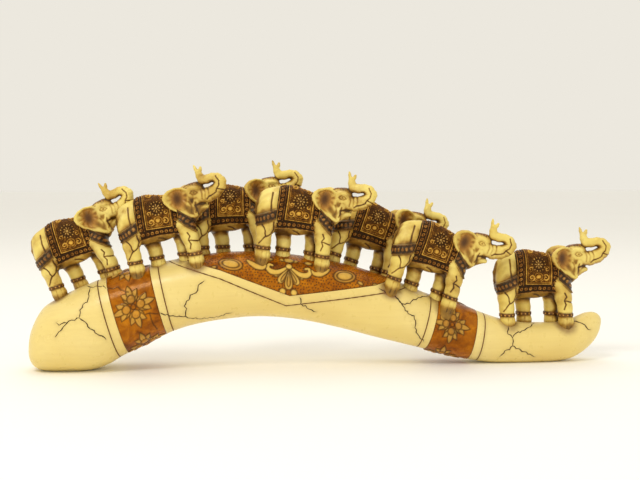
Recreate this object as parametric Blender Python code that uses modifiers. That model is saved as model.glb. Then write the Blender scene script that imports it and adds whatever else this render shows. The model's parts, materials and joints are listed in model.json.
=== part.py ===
"""A procession of seven elephants on a carved tusk: an imitation-ivory figurine.

One solid resin tusk lies on two flat spots and arches between them. Seven resin elephants, all
from one mould, stand on its crest. Each is glued on over two short steel pins that are sunk in a
front foot and a rear foot. Nothing moves.

Units in the tables are millimetres. The model is in metres, +X runs towards the tusk's tip, the
elephants' near side faces -Y, and z = 0 is the surface that the tusk lies on.
"""

from math import cos, pi, radians, sin

import bmesh
import bpy
from mathutils import Euler, Matrix, Vector

MM = 0.001

# How far the tusk's middle lies from the middle of the whole figurine, which is the origin.
TUSK_MIDDLE_X = -1.83

# Sections of the tusk from the blunt root to the tip: the lowest point (x, z), the highest point
# (x, z) and half the depth in Y.
TUSK_SECTIONS = (
    ((-191.3, 10.5), (-191.1, 17.0), 5.0),
    ((-190.2, 5.6), (-190.1, 25.0), 12.0),
    ((-186.5, 1.6), (-186.8, 33.5), 17.5),
    ((-180.0, -0.3), (-181.5, 41.2), 21.0),
    ((-168.0, -0.8), (-172.5, 46.8), 23.5),
    ((-152.0, -0.2), (-162.0, 52.2), 25.0),
    ((-140.3, 3.6), (-153.5, 55.6), 25.8),
    ((-132.5, 8.2), (-147.0, 58.2), 26.0),
    ((-117.0, 16.2), (-130.0, 63.9), 25.5),
    ((-102.5, 23.0), (-113.8, 67.8), 24.5),
    ((-85.0, 28.6), (-92.0, 72.2), 23.5),
    ((-62.0, 32.2), (-65.0, 75.6), 22.5),
    ((-40.0, 33.3), (-39.0, 75.5), 22.0),
    ((-15.5, 30.8), (-12.5, 72.6), 21.5),
    ((10.0, 25.2), (15.5, 67.0), 21.0),
    ((35.0, 18.4), (43.0, 58.2), 20.2),
    ((62.2, 11.4), (71.3, 46.6), 18.5),
    ((80.0, 6.8), (88.0, 41.8), 17.2),
    ((98.0, 2.4), (104.0, 35.2), 16.0),
    ((114.0, -0.2), (118.0, 30.2), 15.0),
    ((130.0, -0.8), (131.0, 27.2), 14.3),
    ((148.0, -0.7), (148.0, 26.3), 13.5),
    ((162.0, 0.2), (159.0, 26.6), 12.6),
    ((171.0, 2.2), (168.0, 27.4), 11.6),
    ((179.0, 6.8), (174.4, 30.0), 10.2),
    ((185.5, 12.6), (179.6, 32.2), 8.4),
    ((189.3, 18.6), (184.0, 33.0), 6.3),
    ((191.1, 24.4), (187.4, 32.6), 3.9),
    ((191.4, 27.6), (189.8, 31.0), 1.7),
)
SECTION_POWER = 2.2  # 2 is an ellipse; a little more flattens the crest
SECTION_SIDES = 36
LONG_SPAN = 12.0  # sections further apart than this get one more between them

# Each elephant: foot level under its middle (x, z), row in Y, nose-up pitch, roll, size, and how
# far its head turns towards -Y and lifts. A positive roll leans an elephant towards -Y.
ELEPHANTS = {
    "elephant_1": ((-153.2, 52.9), 1.5, 18.0, 0.0, 0.92, 10.0, 0.0),
    "elephant_2": ((-102.4, 66.2), -9.2, 8.5, 3.0, 0.93, 20.0, 0.0),
    "elephant_3": ((-60.4, 71.0), 9.4, 1.0, -3.0, 0.95, 0.0, 0.0),
    "elephant_4": ((-22.6, 69.4), -9.2, -9.0, 3.0, 0.95, 14.0, 0.0),
    "elephant_5": ((23.6, 59.6), 9.4, -20.0, -3.0, 0.95, 0.0, 0.0),
    "elephant_6": ((61.6, 45.2), -9.2, -19.5, 3.0, 0.97, 14.0, 0.0),
    "elephant_7": ((144.4, 24.2), 0.0, -0.5, 0.0, 0.985, 10.0, 0.0),
}

# One elephant in its own frame: origin on the ground between its four feet, +X forward.
BODY_BALLS = (  # centre and radii
    ((-12.5, 0.0, 35.0), (16.4, 9.4, 16.8)),
    ((-1.0, 0.0, 35.2), (19.5, 9.6, 16.4)),
    ((10.0, 0.0, 36.0), (12.5, 8.8, 13.6)),
    ((16.5, 0.0, 42.5), (9.0, 6.5, 9.6)),
)
CLOTH_CENTRE = (-0.8, 35.4)  # x, z
CLOTH_SIZE = (29.0, 9.9, 16.9)  # length, half width, half height
NECK = (14.0, 0.0, 44.0)  # the head turns and lifts about this point
HEAD_BALLS = (
    ((26.0, 0.0, 47.0), (7.8, 6.4, 8.2)),
    ((27.0, 0.0, 38.8), (6.2, 3.8, 4.6)),
)
TRUNK = (  # centre (x, z) and radius
    (29.5, 46.8, 5.5),
    (37.2, 46.4, 4.6),
    (43.4, 48.6, 4.2),
    (47.4, 53.0, 3.9),
    (45.4, 57.2, 3.4),
    (40.3, 58.2, 2.9),
    (34.8, 58.4, 2.8),
    (31.8, 61.0, 2.5),
    (31.0, 65.6, 1.9),
)
EAR_CENTRE = (17.8, 9.2, 43.2)  # x, distance from the middle, z
EAR_RADII = (8.3, 1.8, 11.0)
EAR_FLARE = 33.0
LEG_Y = 5.0
LEGS = {  # hip (x, z), ankle x and foot x, then which side in Y
    "near_rear": ((-20.0, 28.0), -20.6, -20.4, -1),
    "far_rear": ((-12.0, 28.0), -6.4, -5.8, 1),
    "near_front": ((16.0, 30.0), 20.2, 20.8, -1),
    "far_front": ((13.0, 30.0), 13.8, 13.6, 1),
}
ANKLE_Z = 8.6
FOOT_Z = 3.2
FOOT_REACH = 6.0  # the foot runs this far below its level, and the tusk's crest trims it
HIP_RADIUS = 6.2
ANKLE_RADIUS = 4.5
FOOT_RADIUS = 4.9
TAIL = ((-26.6, 42.5), (-27.9, 36.0), (-26.6, 27.0))
TAIL_RADIUS = 1.3
VOXEL = 1.0
THINNING = 0.046  # share of the melted form's faces that is kept

GAP = 0.3  # glue line between an elephant's foot and the tusk
PIN_RADIUS = 1.0
PIN_LENGTH = 10.0
PIN_IN_FOOT = 4.0
PIN_SIDES = 12

IVORY = ((0.86, 0.76, 0.50, 1.0), 0.35, 0.0)
AGED_IVORY = ((0.80, 0.62, 0.32, 1.0), 0.4, 0.0)
STEEL = ((0.60, 0.60, 0.62, 1.0), 0.35, 1.0)


def material(name, look):
    """A Principled material from a colour, a roughness and a metallic value."""
    colour, roughness, metallic = look
    made = bpy.data.materials.new(name)
    made.use_nodes = True
    shader = made.node_tree.nodes["Principled BSDF"]
    shader.inputs["Base Color"].default_value = colour
    shader.inputs["Roughness"].default_value = roughness
    shader.inputs["Metallic"].default_value = metallic
    return made


def mesh_object(name, shape, collection):
    """A new object from a bmesh, which is freed."""
    bmesh.ops.recalc_face_normals(shape, faces=shape.faces)
    mesh = bpy.data.meshes.new(name)
    shape.to_mesh(mesh)
    shape.free()
    made = bpy.data.objects.new(name, mesh)
    collection.objects.link(made)
    return made


def spline(before, start, end, after, t):
    """A Catmull-Rom curve between start and end, as numbers in a list."""
    return [
        b + 0.5 * t * (c - a + t * (2 * a - 5 * b + 4 * c - d + t * (3 * (b - c) + d - a)))
        for a, b, c, d in zip(before, start, end, after)
    ]


def tusk_stations():
    """The tusk's sections, with one more in each long span."""
    rows = [(*low, *high, depth) for low, high, depth in TUSK_SECTIONS]
    stations = []
    for index in range(len(rows) - 1):
        start, end = rows[index], rows[index + 1]
        before = rows[max(index - 1, 0)]
        after = rows[min(index + 2, len(rows) - 1)]
        steps = 2 if end[2] - start[2] > LONG_SPAN else 1
        for step in range(steps):
            stations.append(spline(before, start, end, after, step / steps))
    stations.append(rows[-1])
    return stations


def squared(value, power):
    """Raises a sine or cosine to a power and keeps its sign."""
    return (1 if value >= 0 else -1) * abs(value) ** power


def tusk_section(station, grow):
    """The points round one section, starting at its top; grow is in millimetres."""
    low_x, low_z, high_x, high_z, depth = station
    middle = Vector(((low_x + high_x) / 2 + TUSK_MIDDLE_X, 0.0, (low_z + high_z) / 2))
    upward = Vector((high_x - low_x, 0.0, high_z - low_z)) / 2
    upward += upward.normalized() * grow
    sideways = Vector((0.0, depth + grow, 0.0))
    points = []
    for side in range(SECTION_SIDES):
        angle = 2 * pi * side / SECTION_SIDES
        up = squared(cos(angle), 2 / SECTION_POWER)
        across = squared(sin(angle), 2 / SECTION_POWER)
        points.append((middle + upward * up + sideways * across) * MM)
    return points


def tusk_loft(name, collection, grow=0.0):
    """The tusk's skin through all its sections, closed at both ends."""
    shape = bmesh.new()
    rings = []
    for station in tusk_stations():
        rings.append([shape.verts.new(point) for point in tusk_section(station, grow)])
    for ring, following in zip(rings, rings[1:]):
        for side in range(SECTION_SIDES):
            beside = (side + 1) % SECTION_SIDES
            shape.faces.new((ring[side], ring[beside], following[beside], following[side]))
    shape.faces.new(rings[0])
    shape.faces.new(rings[-1])
    return mesh_object(name, shape, collection)


def cut(target, cutter):
    """Takes the cutter out of the target."""
    modifier = target.modifiers.new("cut_" + cutter.name, "BOOLEAN")
    modifier.operation = "DIFFERENCE"
    modifier.solver = "EXACT"
    modifier.object = cutter


def floor_block(collection):
    """All that lies below z = 0, which leaves the tusk's two flat spots."""
    shape = bmesh.new()
    size = Matrix.Diagonal((0.5, 0.2, 0.02, 1.0))
    bmesh.ops.create_cube(shape, size=1.0, matrix=Matrix.Translation((0.0, 0.0, -0.01)) @ size)
    return mesh_object("floor_cutter", shape, collection)


def add_ball(shape, centre, radii, turn=(0.0, 0.0, 0.0)):
    """An ellipsoid in millimetres; turn is in degrees about X, Y and Z."""
    place = Matrix.Translation(Vector(centre) * MM)
    rotation = Euler([radians(angle) for angle in turn]).to_matrix().to_4x4()
    size = Matrix.Diagonal((*[radius * MM for radius in radii], 1.0))
    bmesh.ops.create_uvsphere(
        shape, u_segments=24, v_segments=16, radius=1.0, matrix=place @ rotation @ size
    )


def add_cone(shape, start, end, start_radius, end_radius, sides=20):
    """A capped, tapered cylinder between two points in millimetres."""
    first, last = Vector(start) * MM, Vector(end) * MM
    along = last - first
    turn = along.to_track_quat("Z", "Y").to_matrix().to_4x4()
    bmesh.ops.create_cone(
        shape,
        cap_ends=True,
        segments=sides,
        radius1=start_radius * MM,
        radius2=end_radius * MM,
        depth=along.length,
        matrix=Matrix.Translation((first + last) / 2) @ turn,
    )


def add_chain(shape, points):
    """Tapered links with a ball at each joint, through (x, z, radius) points at y = 0."""
    for x, z, radius in points:
        add_ball(shape, (x, 0.0, z), (radius, radius, radius))
    for (x1, z1, r1), (x2, z2, r2) in zip(points, points[1:]):
        add_cone(shape, (x1, 0.0, z1), (x2, 0.0, z2), r1, r2)


def add_cloth(shape):
    """The saddle cloth, a little proud of the body and open to neither end."""
    length, half_width, half_height = CLOTH_SIZE
    x, z = CLOTH_CENTRE
    place = Matrix.Translation(Vector((x, 0.0, z)) * MM)
    size = Matrix.Diagonal((length * MM, half_width * MM, half_height * MM, 1.0))
    turn = Matrix.Rotation(radians(90), 4, "Y")
    bmesh.ops.create_cone(
        shape, cap_ends=True, segments=32, radius1=1.0, radius2=1.0, depth=1.0,
        matrix=place @ size @ turn,
    )


def add_leg(shape, hip, ankle_x, foot_x, side):
    """One leg, its ankle and a foot that runs on down into the tusk's crest."""
    y = side * LEG_Y
    hip_x, hip_z = hip
    add_cone(shape, (foot_x, y, -FOOT_REACH), (foot_x, y, FOOT_Z), FOOT_RADIUS, FOOT_RADIUS)
    add_cone(shape, (foot_x, y, FOOT_Z), (ankle_x, y, ANKLE_Z), FOOT_RADIUS, ANKLE_RADIUS)
    add_cone(shape, (ankle_x, y, ANKLE_Z), (hip_x, y, hip_z), ANKLE_RADIUS, HIP_RADIUS)


def head_matrix(turn, lift):
    """How a head sits on its neck, for a turn towards -Y and a lift in degrees."""
    neck = Matrix.Translation(Vector(NECK) * MM)
    rotation = Matrix.Rotation(radians(-turn), 4, "Z") @ Matrix.Rotation(radians(-lift), 4, "Y")
    return neck @ rotation @ neck.inverted()


def add_head(shape, turn, lift):
    """The head, trunk and ears, turned on the neck."""
    head = bmesh.new()
    for centre, radii in HEAD_BALLS:
        add_ball(head, centre, radii)
    add_chain(head, TRUNK)
    x, y, z = EAR_CENTRE
    for side in (-1, 1):
        add_ball(head, (x, side * y, z), EAR_RADII, (0.0, 0.0, -side * EAR_FLARE))
    bmesh.ops.transform(head, matrix=head_matrix(turn, lift), verts=head.verts)
    scrap = bpy.data.meshes.new("head")
    head.to_mesh(scrap)
    head.free()
    shape.from_mesh(scrap)
    bpy.data.meshes.remove(scrap)


def elephant_mesh(name, turn, lift, collection):
    """One closed elephant, made of simple forms that are melted together."""
    shape = bmesh.new()
    for centre, radii in BODY_BALLS:
        add_ball(shape, centre, radii)
    add_cloth(shape)
    add_head(shape, turn, lift)
    for leg in LEGS.values():
        add_leg(shape, *leg)
    add_chain(shape, [(x, z, TAIL_RADIUS) for x, z in TAIL])
    forms = mesh_object(name, shape, collection)
    melt = forms.modifiers.new("melt", "REMESH")
    melt.mode = "VOXEL"
    melt.voxel_size = VOXEL * MM
    thin = forms.modifiers.new("thin", "DECIMATE")
    thin.ratio = THINNING
    graph = bpy.context.evaluated_depsgraph_get()
    mesh = bpy.data.meshes.new_from_object(forms.evaluated_get(graph))
    bpy.data.objects.remove(forms)
    mesh.name = name
    mesh.shade_smooth()
    return mesh


def elephant_matrix(place):
    """Where an elephant stands, from its row in the table."""
    (x, z), row, pitch, roll, size = place[:5]
    spot = Matrix.Translation(Vector((x + TUSK_MIDDLE_X, row, z)) * MM)
    lean = Matrix.Rotation(radians(roll), 4, "X")
    nose_up = Matrix.Rotation(radians(-pitch), 4, "Y")
    return spot @ nose_up @ lean @ Matrix.Diagonal((size, size, size, 1.0))


def pin(name, place, leg, radius, spare, collection):
    """A pin, or the hole for it, upright in a foot; spare is added at both ends."""
    x, y = leg[2], leg[3] * LEG_Y
    size = place[4]
    low = PIN_IN_FOOT - PIN_LENGTH - spare
    high = PIN_IN_FOOT + spare
    shape = bmesh.new()
    add_cone(shape, (x, y, low / size), (x, y, high / size), radius / size, radius / size, PIN_SIDES)
    bmesh.ops.transform(shape, matrix=elephant_matrix(place), verts=shape.verts)
    return mesh_object(name, shape, collection)


def paint(target, coat):
    target.data.materials.clear()
    target.data.materials.append(coat)


def hide(cutter):
    cutter.hide_render = True
    cutter.display_type = "WIRE"


def main():
    for old in list(bpy.data.objects):
        bpy.data.objects.remove(old)
    parts = bpy.data.collections.new("elephant_procession_figurine")
    cutters = bpy.data.collections.new("cutters")
    for collection in (parts, cutters):
        bpy.context.scene.collection.children.link(collection)
    ivory = material("ivory_resin", IVORY)
    aged = material("aged_ivory_resin", AGED_IVORY)
    steel = material("steel", STEEL)

    tusk = tusk_loft("tusk", parts)
    paint(tusk, ivory)
    cut(tusk, floor_block(cutters))
    crest = tusk_loft("crest_cutter", cutters, GAP)
    for name, place in ELEPHANTS.items():
        casting = elephant_mesh(name, *place[5:], parts)
        elephant = bpy.data.objects.new(name, casting)
        elephant.matrix_world = elephant_matrix(place)
        parts.objects.link(elephant)
        paint(elephant, aged)
        cut(elephant, crest)
        outer_side = "near" if place[1] <= 0.0 else "far"
        for end in ("front", "rear"):
            leg = LEGS[f"{outer_side}_{end}"]
            pin_name = f"{name}_pin_{end}"
            hole = pin(pin_name + "_hole", place, leg, PIN_RADIUS + GAP, GAP, cutters)
            cut(elephant, hole)
            cut(tusk, hole)
            paint(pin(pin_name, place, leg, PIN_RADIUS, 0.0, parts), steel)
    for cutter in cutters.objects:
        hide(cutter)


main()
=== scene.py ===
"""Looks for a figurine of seven elephants on a carved tusk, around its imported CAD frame.

Everything is imitation-ivory resin: a cream tusk with brown-stained cracks, two flower bands and
a pointed saddle panel in amber glaze, and seven elephants with carved, dark saddle cloths.

Tables are in millimetres. The tusk's use its own frame, whose origin is its middle; an
elephant's use a frame with its origin on the ground between its feet and +X forward. Places
come from the CAD nodes' boxes.
"""

import json
from math import atan2, cos, pi, radians, sin, tau

import bpy
import numpy as np
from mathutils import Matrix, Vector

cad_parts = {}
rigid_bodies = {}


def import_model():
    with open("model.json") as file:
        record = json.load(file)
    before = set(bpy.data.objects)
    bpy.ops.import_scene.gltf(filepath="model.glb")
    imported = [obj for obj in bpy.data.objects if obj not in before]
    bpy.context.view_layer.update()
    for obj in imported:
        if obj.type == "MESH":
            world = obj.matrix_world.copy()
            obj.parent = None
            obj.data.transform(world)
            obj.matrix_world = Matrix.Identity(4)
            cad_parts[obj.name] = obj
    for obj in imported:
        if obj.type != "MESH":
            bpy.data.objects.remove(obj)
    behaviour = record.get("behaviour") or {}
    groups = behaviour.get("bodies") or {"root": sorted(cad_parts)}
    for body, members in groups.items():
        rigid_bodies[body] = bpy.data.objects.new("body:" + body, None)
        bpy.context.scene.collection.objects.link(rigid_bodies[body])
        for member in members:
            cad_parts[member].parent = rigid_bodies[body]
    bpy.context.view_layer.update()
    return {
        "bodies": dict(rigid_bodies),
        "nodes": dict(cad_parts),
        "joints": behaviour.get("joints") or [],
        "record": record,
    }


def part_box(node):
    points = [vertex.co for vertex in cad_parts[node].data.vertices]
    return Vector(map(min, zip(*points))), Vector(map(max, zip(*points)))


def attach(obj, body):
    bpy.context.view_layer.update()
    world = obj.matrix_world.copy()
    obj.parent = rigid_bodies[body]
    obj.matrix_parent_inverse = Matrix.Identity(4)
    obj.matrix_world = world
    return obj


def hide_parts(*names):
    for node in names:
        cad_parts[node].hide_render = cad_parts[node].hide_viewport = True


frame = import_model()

import openvdb
from mathutils import Matrix, Vector

MM = 0.001

# ---- Driving dimensions: the tusk ----

# Sections from the blunt root to the tip: lowest (x, z), highest (x, z), half the depth in Y.
TUSK_SECTIONS = (
    ((-191.3, 10.5), (-191.1, 17.0), 5.0),
    ((-190.2, 5.6), (-190.1, 25.0), 12.0),
    ((-186.5, 1.6), (-186.8, 33.5), 17.5),
    ((-180.0, -0.3), (-181.5, 41.2), 21.0),
    ((-168.0, -0.8), (-172.5, 46.8), 23.5),
    ((-152.0, -0.2), (-162.0, 52.2), 25.0),
    ((-140.3, 3.6), (-153.5, 55.6), 25.8),
    ((-132.5, 8.2), (-147.0, 58.2), 26.0),
    ((-117.0, 16.2), (-130.0, 63.9), 25.5),
    ((-102.5, 23.0), (-113.8, 67.8), 24.5),
    ((-85.0, 28.6), (-92.0, 72.2), 23.5),
    ((-62.0, 32.2), (-65.0, 75.6), 22.5),
    ((-40.0, 33.3), (-39.0, 75.5), 22.0),
    ((-15.5, 30.8), (-12.5, 72.6), 21.5),
    ((10.0, 25.2), (15.5, 67.0), 21.0),
    ((35.0, 18.4), (43.0, 58.2), 20.2),
    ((62.2, 11.4), (71.3, 46.6), 18.5),
    ((80.0, 6.8), (88.0, 41.8), 17.2),
    ((98.0, 2.4), (104.0, 35.2), 16.0),
    ((114.0, -0.2), (118.0, 30.2), 15.0),
    ((130.0, -0.8), (131.0, 27.2), 14.3),
    ((148.0, -0.7), (148.0, 26.3), 13.5),
    ((162.0, 0.2), (159.0, 26.6), 12.6),
    ((171.0, 2.2), (168.0, 27.4), 11.6),
    ((179.0, 6.8), (174.4, 30.0), 10.2),
    ((185.5, 12.6), (179.6, 32.2), 8.4),
    ((189.3, 18.6), (184.0, 33.0), 6.3),
    ((191.1, 24.4), (187.4, 32.6), 3.9),
    ((191.4, 27.6), (189.8, 31.0), 1.7),
)
SECTION_POWER = 2.2  # 2 is an ellipse; a little more flattens the crest
RING_STEP = 1.0  # along the tusk
RING_SIDES = 160

# The two flower bands and the engraved lines beside them, each by its top and bottom (x, z).
ROOT_BAND = (((-142.2, 60.9), (-127.3, 11.7)), ((-113.8, 66.5), (-102.5, 24.2)))
ROOT_LINES = (((-147.0, 57.6), (-132.5, 8.5)), ((-109.9, 68.8), (-96.9, 25.4)))
TIP_BAND = (((75.7, 41.9), (67.7, 10.8)), ((104.0, 32.0), (96.0, 3.8)))
TIP_LINES = (((71.3, 44.0), (62.2, 12.2)), ((109.9, 31.9), (101.2, 2.4)))
ROOT_FLOWERS = ((-122.9, 43.4), 5, 1.03)  # one flower's middle, how many round the band, their size
TIP_FLOWERS = ((83.8, 28.0), 4, 0.93)
LEAF_AWAY, BERRY_AWAY = 3.0, 4.7  # from the flower's middle, at size 1
BERRY_SIZE, CENTRE_SIZE = 5.2, 3.2
SPRAY = ((-0.80, 7.2), (0.80, 7.2), (0.0, 9.2))  # angle and length of each leaf
FLOWER_TURN = 0.06
GLAZE_LIFT = 0.25  # how proud the glaze stands of the ivory
GLAZE_STEP = 0.36
GLAZE_ROOT = -1.3  # the glaze's rims go this deep into the ivory
GLAZE_RIM = 0.5  # its edge is rounded off over this width
NOWHERE = 9.0  # an ornament's distance before anything is laid
DOTS = (2.0, 0.5, 7)  # the panel's dimples: pitch, radius, seed
DOTS_START = 90.0  # their lattice starts this far before the crest

# The saddle panel over the crest: its glazed edge and the engraved line outside it, front view.
PANEL_EDGE = ((-97.0, 73.0), (-68.2, 65.4), (-23.8, 48.6), (11.3, 52.2), (32.9, 54.4), (47.0, 58.0))
PANEL_LINE = ((-106.0, 72.0), (-68.3, 60.2), (-26.1, 42.1), (11.3, 46.3), (47.8, 50.6), (60.0, 53.5))
PANEL_RADIUS = 22.0  # roughly the tusk's under the panel
PANEL_BEAD = (-24.0, 67.0)
BULGE_PEAK = 0.38  # the highest value of a leaf's or drop's outline formula
PALMETTE = ((-0.98, 11.5, 5.0), (0.98, 11.5, 5.0), (-0.52, 12.5, 5.2), (0.52, 12.5, 5.2), (0.0, 14.5, 6.4))
PANEL_SCROLLS = (  # route from the middle bead, half widths, how pale
    (((0.6, 0.0), (3.0, 2.2), (7.0, 4.6), (11.0, 4.6), (13.4, 2.4), (12.6, -0.2), (10.6, 0.2)),
     (0.5, 1.2, 1.8, 2.0, 1.5, 1.2, 1.0), 0.95),
    (((25.8, -3.0), (23.4, -0.6), (20.0, 1.8), (16.4, 2.4), (14.8, 0.6)), (0.8, 1.8, 2.1, 1.5, 0.8), 0.8),
)
PANEL_BEADS = (  # along and down from the middle bead, tilt, length, width, height, how pale
    (3.7, 16.6, 0.0, 4.4, 4.2, 1.4, 1.0),
    (36.0, -0.6, -0.35, 15.0, 9.4, 0.55, 0.45),
    (36.0, -0.6, -0.35, 10.6, 6.0, 1.2, 0.75),
    (12.5, -5.0, 0.0, 5.2, 3.0, 1.0, 0.75),
    (57.0, -0.5, 0.0, 5.0, 3.0, 0.9, 0.7),
    (46.5, 1.5, 0.3, 4.0, 2.6, 0.8, 0.5),
)

LINE_WIDTH = 0.75
LINE_DEPTH = 0.45
CRACK_WIDTH = 0.62
CRACK_DEPTH = 0.5
CUTTER_LIFT = 0.35  # the cutters reach this far out of the ivory
SHARP_ANGLE = 38.0
GROOVE_STAIN, GROOVE_STAIN_REACH = 0.38, 0.9
# brown stain and painted contact shade round the elephants' feet on the tusk
FOOT_SHADE_AND_STAIN, FOOT_SHADE_AND_STAIN_REACH = 0.85, (10.5, 4.5)  # reach: where it starts and where it is full

# Routes of the cracks on the front, in front view.
FRONT_CRACKS = (
    ((-151.2, 54.3), (-152.2, 46.4), (-156.4, 41.5), (-156.9, 36.7)),
    ((-156.9, 36.7), (-164.4, 33.6), (-167.5, 29.9), (-171.9, 24.8)),
    ((-164.4, 33.6), (-169.6, 32.0), (-171.2, 33.6)),
    ((-156.9, 36.7), (-151.8, 32.4), (-146.9, 27.3), (-140.2, 22.7)),
    ((-153.8, 55.0), (-145.9, 55.2), (-142.7, 55.8), (-140.5, 54.2)),
    ((-106.4, 39.2), (-100.2, 37.0), (-91.5, 35.9), (-89.5, 41.3), (-91.3, 43.4), (-88.2, 47.2),
     (-87.5, 50.4), (-83.7, 51.6), (-81.1, 57.3), (-78.6, 59.1)),
    ((-91.5, 35.9), (-81.4, 33.9), (-72.4, 34.1), (-60.8, 37.6)),
    ((-17.3, 47.6), (-16.5, 43.4), (-12.5, 40.6), (-6.6, 37.8)),
    ((35.0, 52.6), (39.4, 49.6), (46.0, 46.9), (51.8, 39.8), (53.7, 35.9), (57.8, 34.5),
     (59.1, 31.1), (58.6, 26.5), (62.4, 19.4), (65.5, 16.4)),
    ((46.0, 46.9), (48.5, 43.7), (51.9, 42.0), (55.3, 42.2), (58.4, 44.6), (63.6, 45.5), (69.3, 45.9)),
    ((123.9, 25.2), (122.5, 20.8), (125.7, 18.1), (128.1, 20.6), (132.7, 22.3), (137.5, 24.0),
     (143.7, 26.0)),
    ((125.7, 18.1), (125.7, 12.8), (119.8, 8.1), (117.5, 5.2)),
    ((125.7, 12.8), (133.5, 8.5), (141.7, 4.7)),
    ((169.5, 27.0), (173.6, 27.0), (177.1, 25.3), (179.0, 22.4), (181.3, 21.9)),
)
BACK_CRACKS = (
    ((-160.0, 48.0), (-163.0, 40.0), (-158.0, 33.0), (-163.0, 24.0), (-159.0, 17.0)),
    ((-158.0, 33.0), (-150.0, 29.0), (-143.0, 31.0)),
    ((-96.0, 61.0), (-88.0, 55.0), (-85.0, 47.0), (-76.0, 44.0), (-70.0, 37.0)),
    ((-85.0, 47.0), (-93.0, 41.0), (-98.0, 36.0)),
    ((4.0, 44.0), (12.0, 39.0), (15.0, 31.0), (23.0, 27.0)),
    ((15.0, 31.0), (7.0, 29.0)),
    ((44.0, 44.0), (50.0, 37.0), (48.0, 29.0), (56.0, 22.0)),
    ((118.0, 24.0), (126.0, 20.0), (129.0, 12.0), (138.0, 8.0)),
    ((129.0, 12.0), (122.0, 8.0)),
    ((160.0, 21.0), (168.0, 19.0), (175.0, 22.0)),
)
ROOT_GLAZE_CRACKS = (
    ((-139.8, 54.6), (-135.9, 54.0), (-132.9, 55.5), (-130.9, 53.8), (-126.0, 52.1)),
    ((-115.5, 38.6), (-112.7, 39.4), (-107.8, 38.7)),
    ((-112.9, 38.9), (-111.4, 33.4), (-108.6, 28.3)),
)

# ---- Driving dimensions: the elephants ----

# Which feet carry the pins, roll (towards -Y), and how far the head turns towards -Y.
ELEPHANTS = {
    "elephant_1": ("far", 0.0, 10.0),
    "elephant_2": ("near", 3.0, 20.0),
    "elephant_3": ("far", -3.0, 0.0),
    "elephant_4": ("near", 3.0, 14.0),
    "elephant_5": ("far", -3.0, 0.0),
    "elephant_6": ("near", 3.0, 14.0),
    "elephant_7": ("near", 0.0, 10.0),
}
LEG_Y = 5.0
FEET = {"near": (20.8, -20.4, -1), "far": (13.6, -5.8, 1)}  # front x, rear x, side
PIN_MIDDLE = -1.0  # height of the pins' middles, just under the soles' level

# The clay's grid, the corners of its two blocks, and its distance where it is empty.
CLAY_STEP = 0.42
CLAY_LOW = (-32.5, -21.0, -6.5)
CLAY_HIGH = (54.5, 17.5, 70.0)
HEAD_LOW = (6.0, -18.0, 24.0)
HEAD_HIGH = (54.5, 18.0, 70.0)
FAR_AWAY = 6.0
NECK = (14.0, 0.0, 44.0)  # the head turns on an upright axis here
NECK_MELT = 2.2

# Sizes of the soft fillets where forms meet.
BODY_MELT, LEG_MELT, FOOT_MELT, TAIL_MELT, ANKLET_MELT = 2.6, 2.0, 1.0, 0.8, 0.15
HEAD_MELT, LIP_MELT, TRUNK_MELT, FINGER_MELT, EAR_MELT = 2.4, 1.2, 0.9, 0.5, 0.7

BODY_BALLS = (  # centre, radii
    ((-12.5, 0.0, 34.8), (16.4, 8.8, 16.2)),
    ((-1.0, 0.0, 34.6), (18.6, 8.9, 15.6)),
    ((10.0, 0.0, 35.0), (12.3, 8.2, 13.2)),
    ((16.0, 0.0, 41.5), (8.6, 6.3, 8.4)),
    ((-19.5, -4.4, 31.0), (8.6, 5.2, 12.4)),
    ((-17.0, 4.4, 31.0), (9.4, 5.2, 12.4)),
    ((15.6, -4.2, 33.0), (7.0, 5.2, 10.5)),
    ((14.6, 4.2, 33.0), (7.4, 5.2, 10.5)),
    ((-21.0, 0.0, 41.0), (7.0, 4.0, 6.8)),
)
LEGS = (  # (x, z, radius) down from the hip, then the side
    (((-19.6, 28.0, 6.6), (-21.2, 20.0, 5.7), (-20.8, 12.6, 4.8), (-20.5, 8.6, 4.8)), -1),
    (((-10.5, 28.0, 6.6), (-7.6, 20.0, 5.6), (-6.2, 12.6, 4.7), (-6.0, 8.6, 4.7)), 1),
    (((16.2, 30.0, 6.6), (19.0, 20.0, 5.4), (20.4, 12.6, 4.7), (20.6, 8.8, 4.7)), -1),
    (((12.6, 30.0, 6.6), (13.2, 20.0, 5.4), (13.7, 12.6, 4.6), (13.7, 8.8, 4.6)), 1),
)
FOOT = ((0.0, 7.2, 4.7), (0.6, 3.4, 5.3))  # (x from the ankle, z, radius), top and bottom
FOOT_DEPTH = -5.0  # the feet go this far into the tusk
SOLE_RADII = (5.0, 4.8)
TOE_ANGLES = (-1.75, -1.05, -0.35, 0.35, 1.05, 1.75)
TOE_DEPTH = 0.32
ANKLET = (8.2, 5.5, 1.2)  # z, radius, half height
TAIL = ((-26.0, 43.5, 1.5), (-28.3, 37.0, 1.4), (-28.0, 31.0, 1.2), (-26.6, 25.5, 1.5), (-25.6, 21.5, 0.9))

# The two bands, seen from the side: across = a * x + b * z - offset.
COLLAR = (0.64, 0.77, 36.7)
STRAP = (-0.43, 0.90, 35.5)
COLLAR_START = (13.0, 13.6)  # x where the band begins, and where it has its full height
STRAP_START = (-14.6, -15.2)
BAND_EDGE = (3.5, 2.9)  # the same across it
BOSS_PITCH = 3.1
BAND_WINDOWS = (((13.0, -12.0, 22.0), (30.0, 12.0, 42.0)), ((-31.0, -14.0, 20.0), (-14.5, 14.0, 36.0)))
TRUNK_WINDOW = ((36.0, -6.0, 40.0), (53.0, 6.0, 63.0))
HEADCLOTH_WINDOW = ((20.5, -4.0, 50.0), (32.0, 4.0, 58.0))

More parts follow.
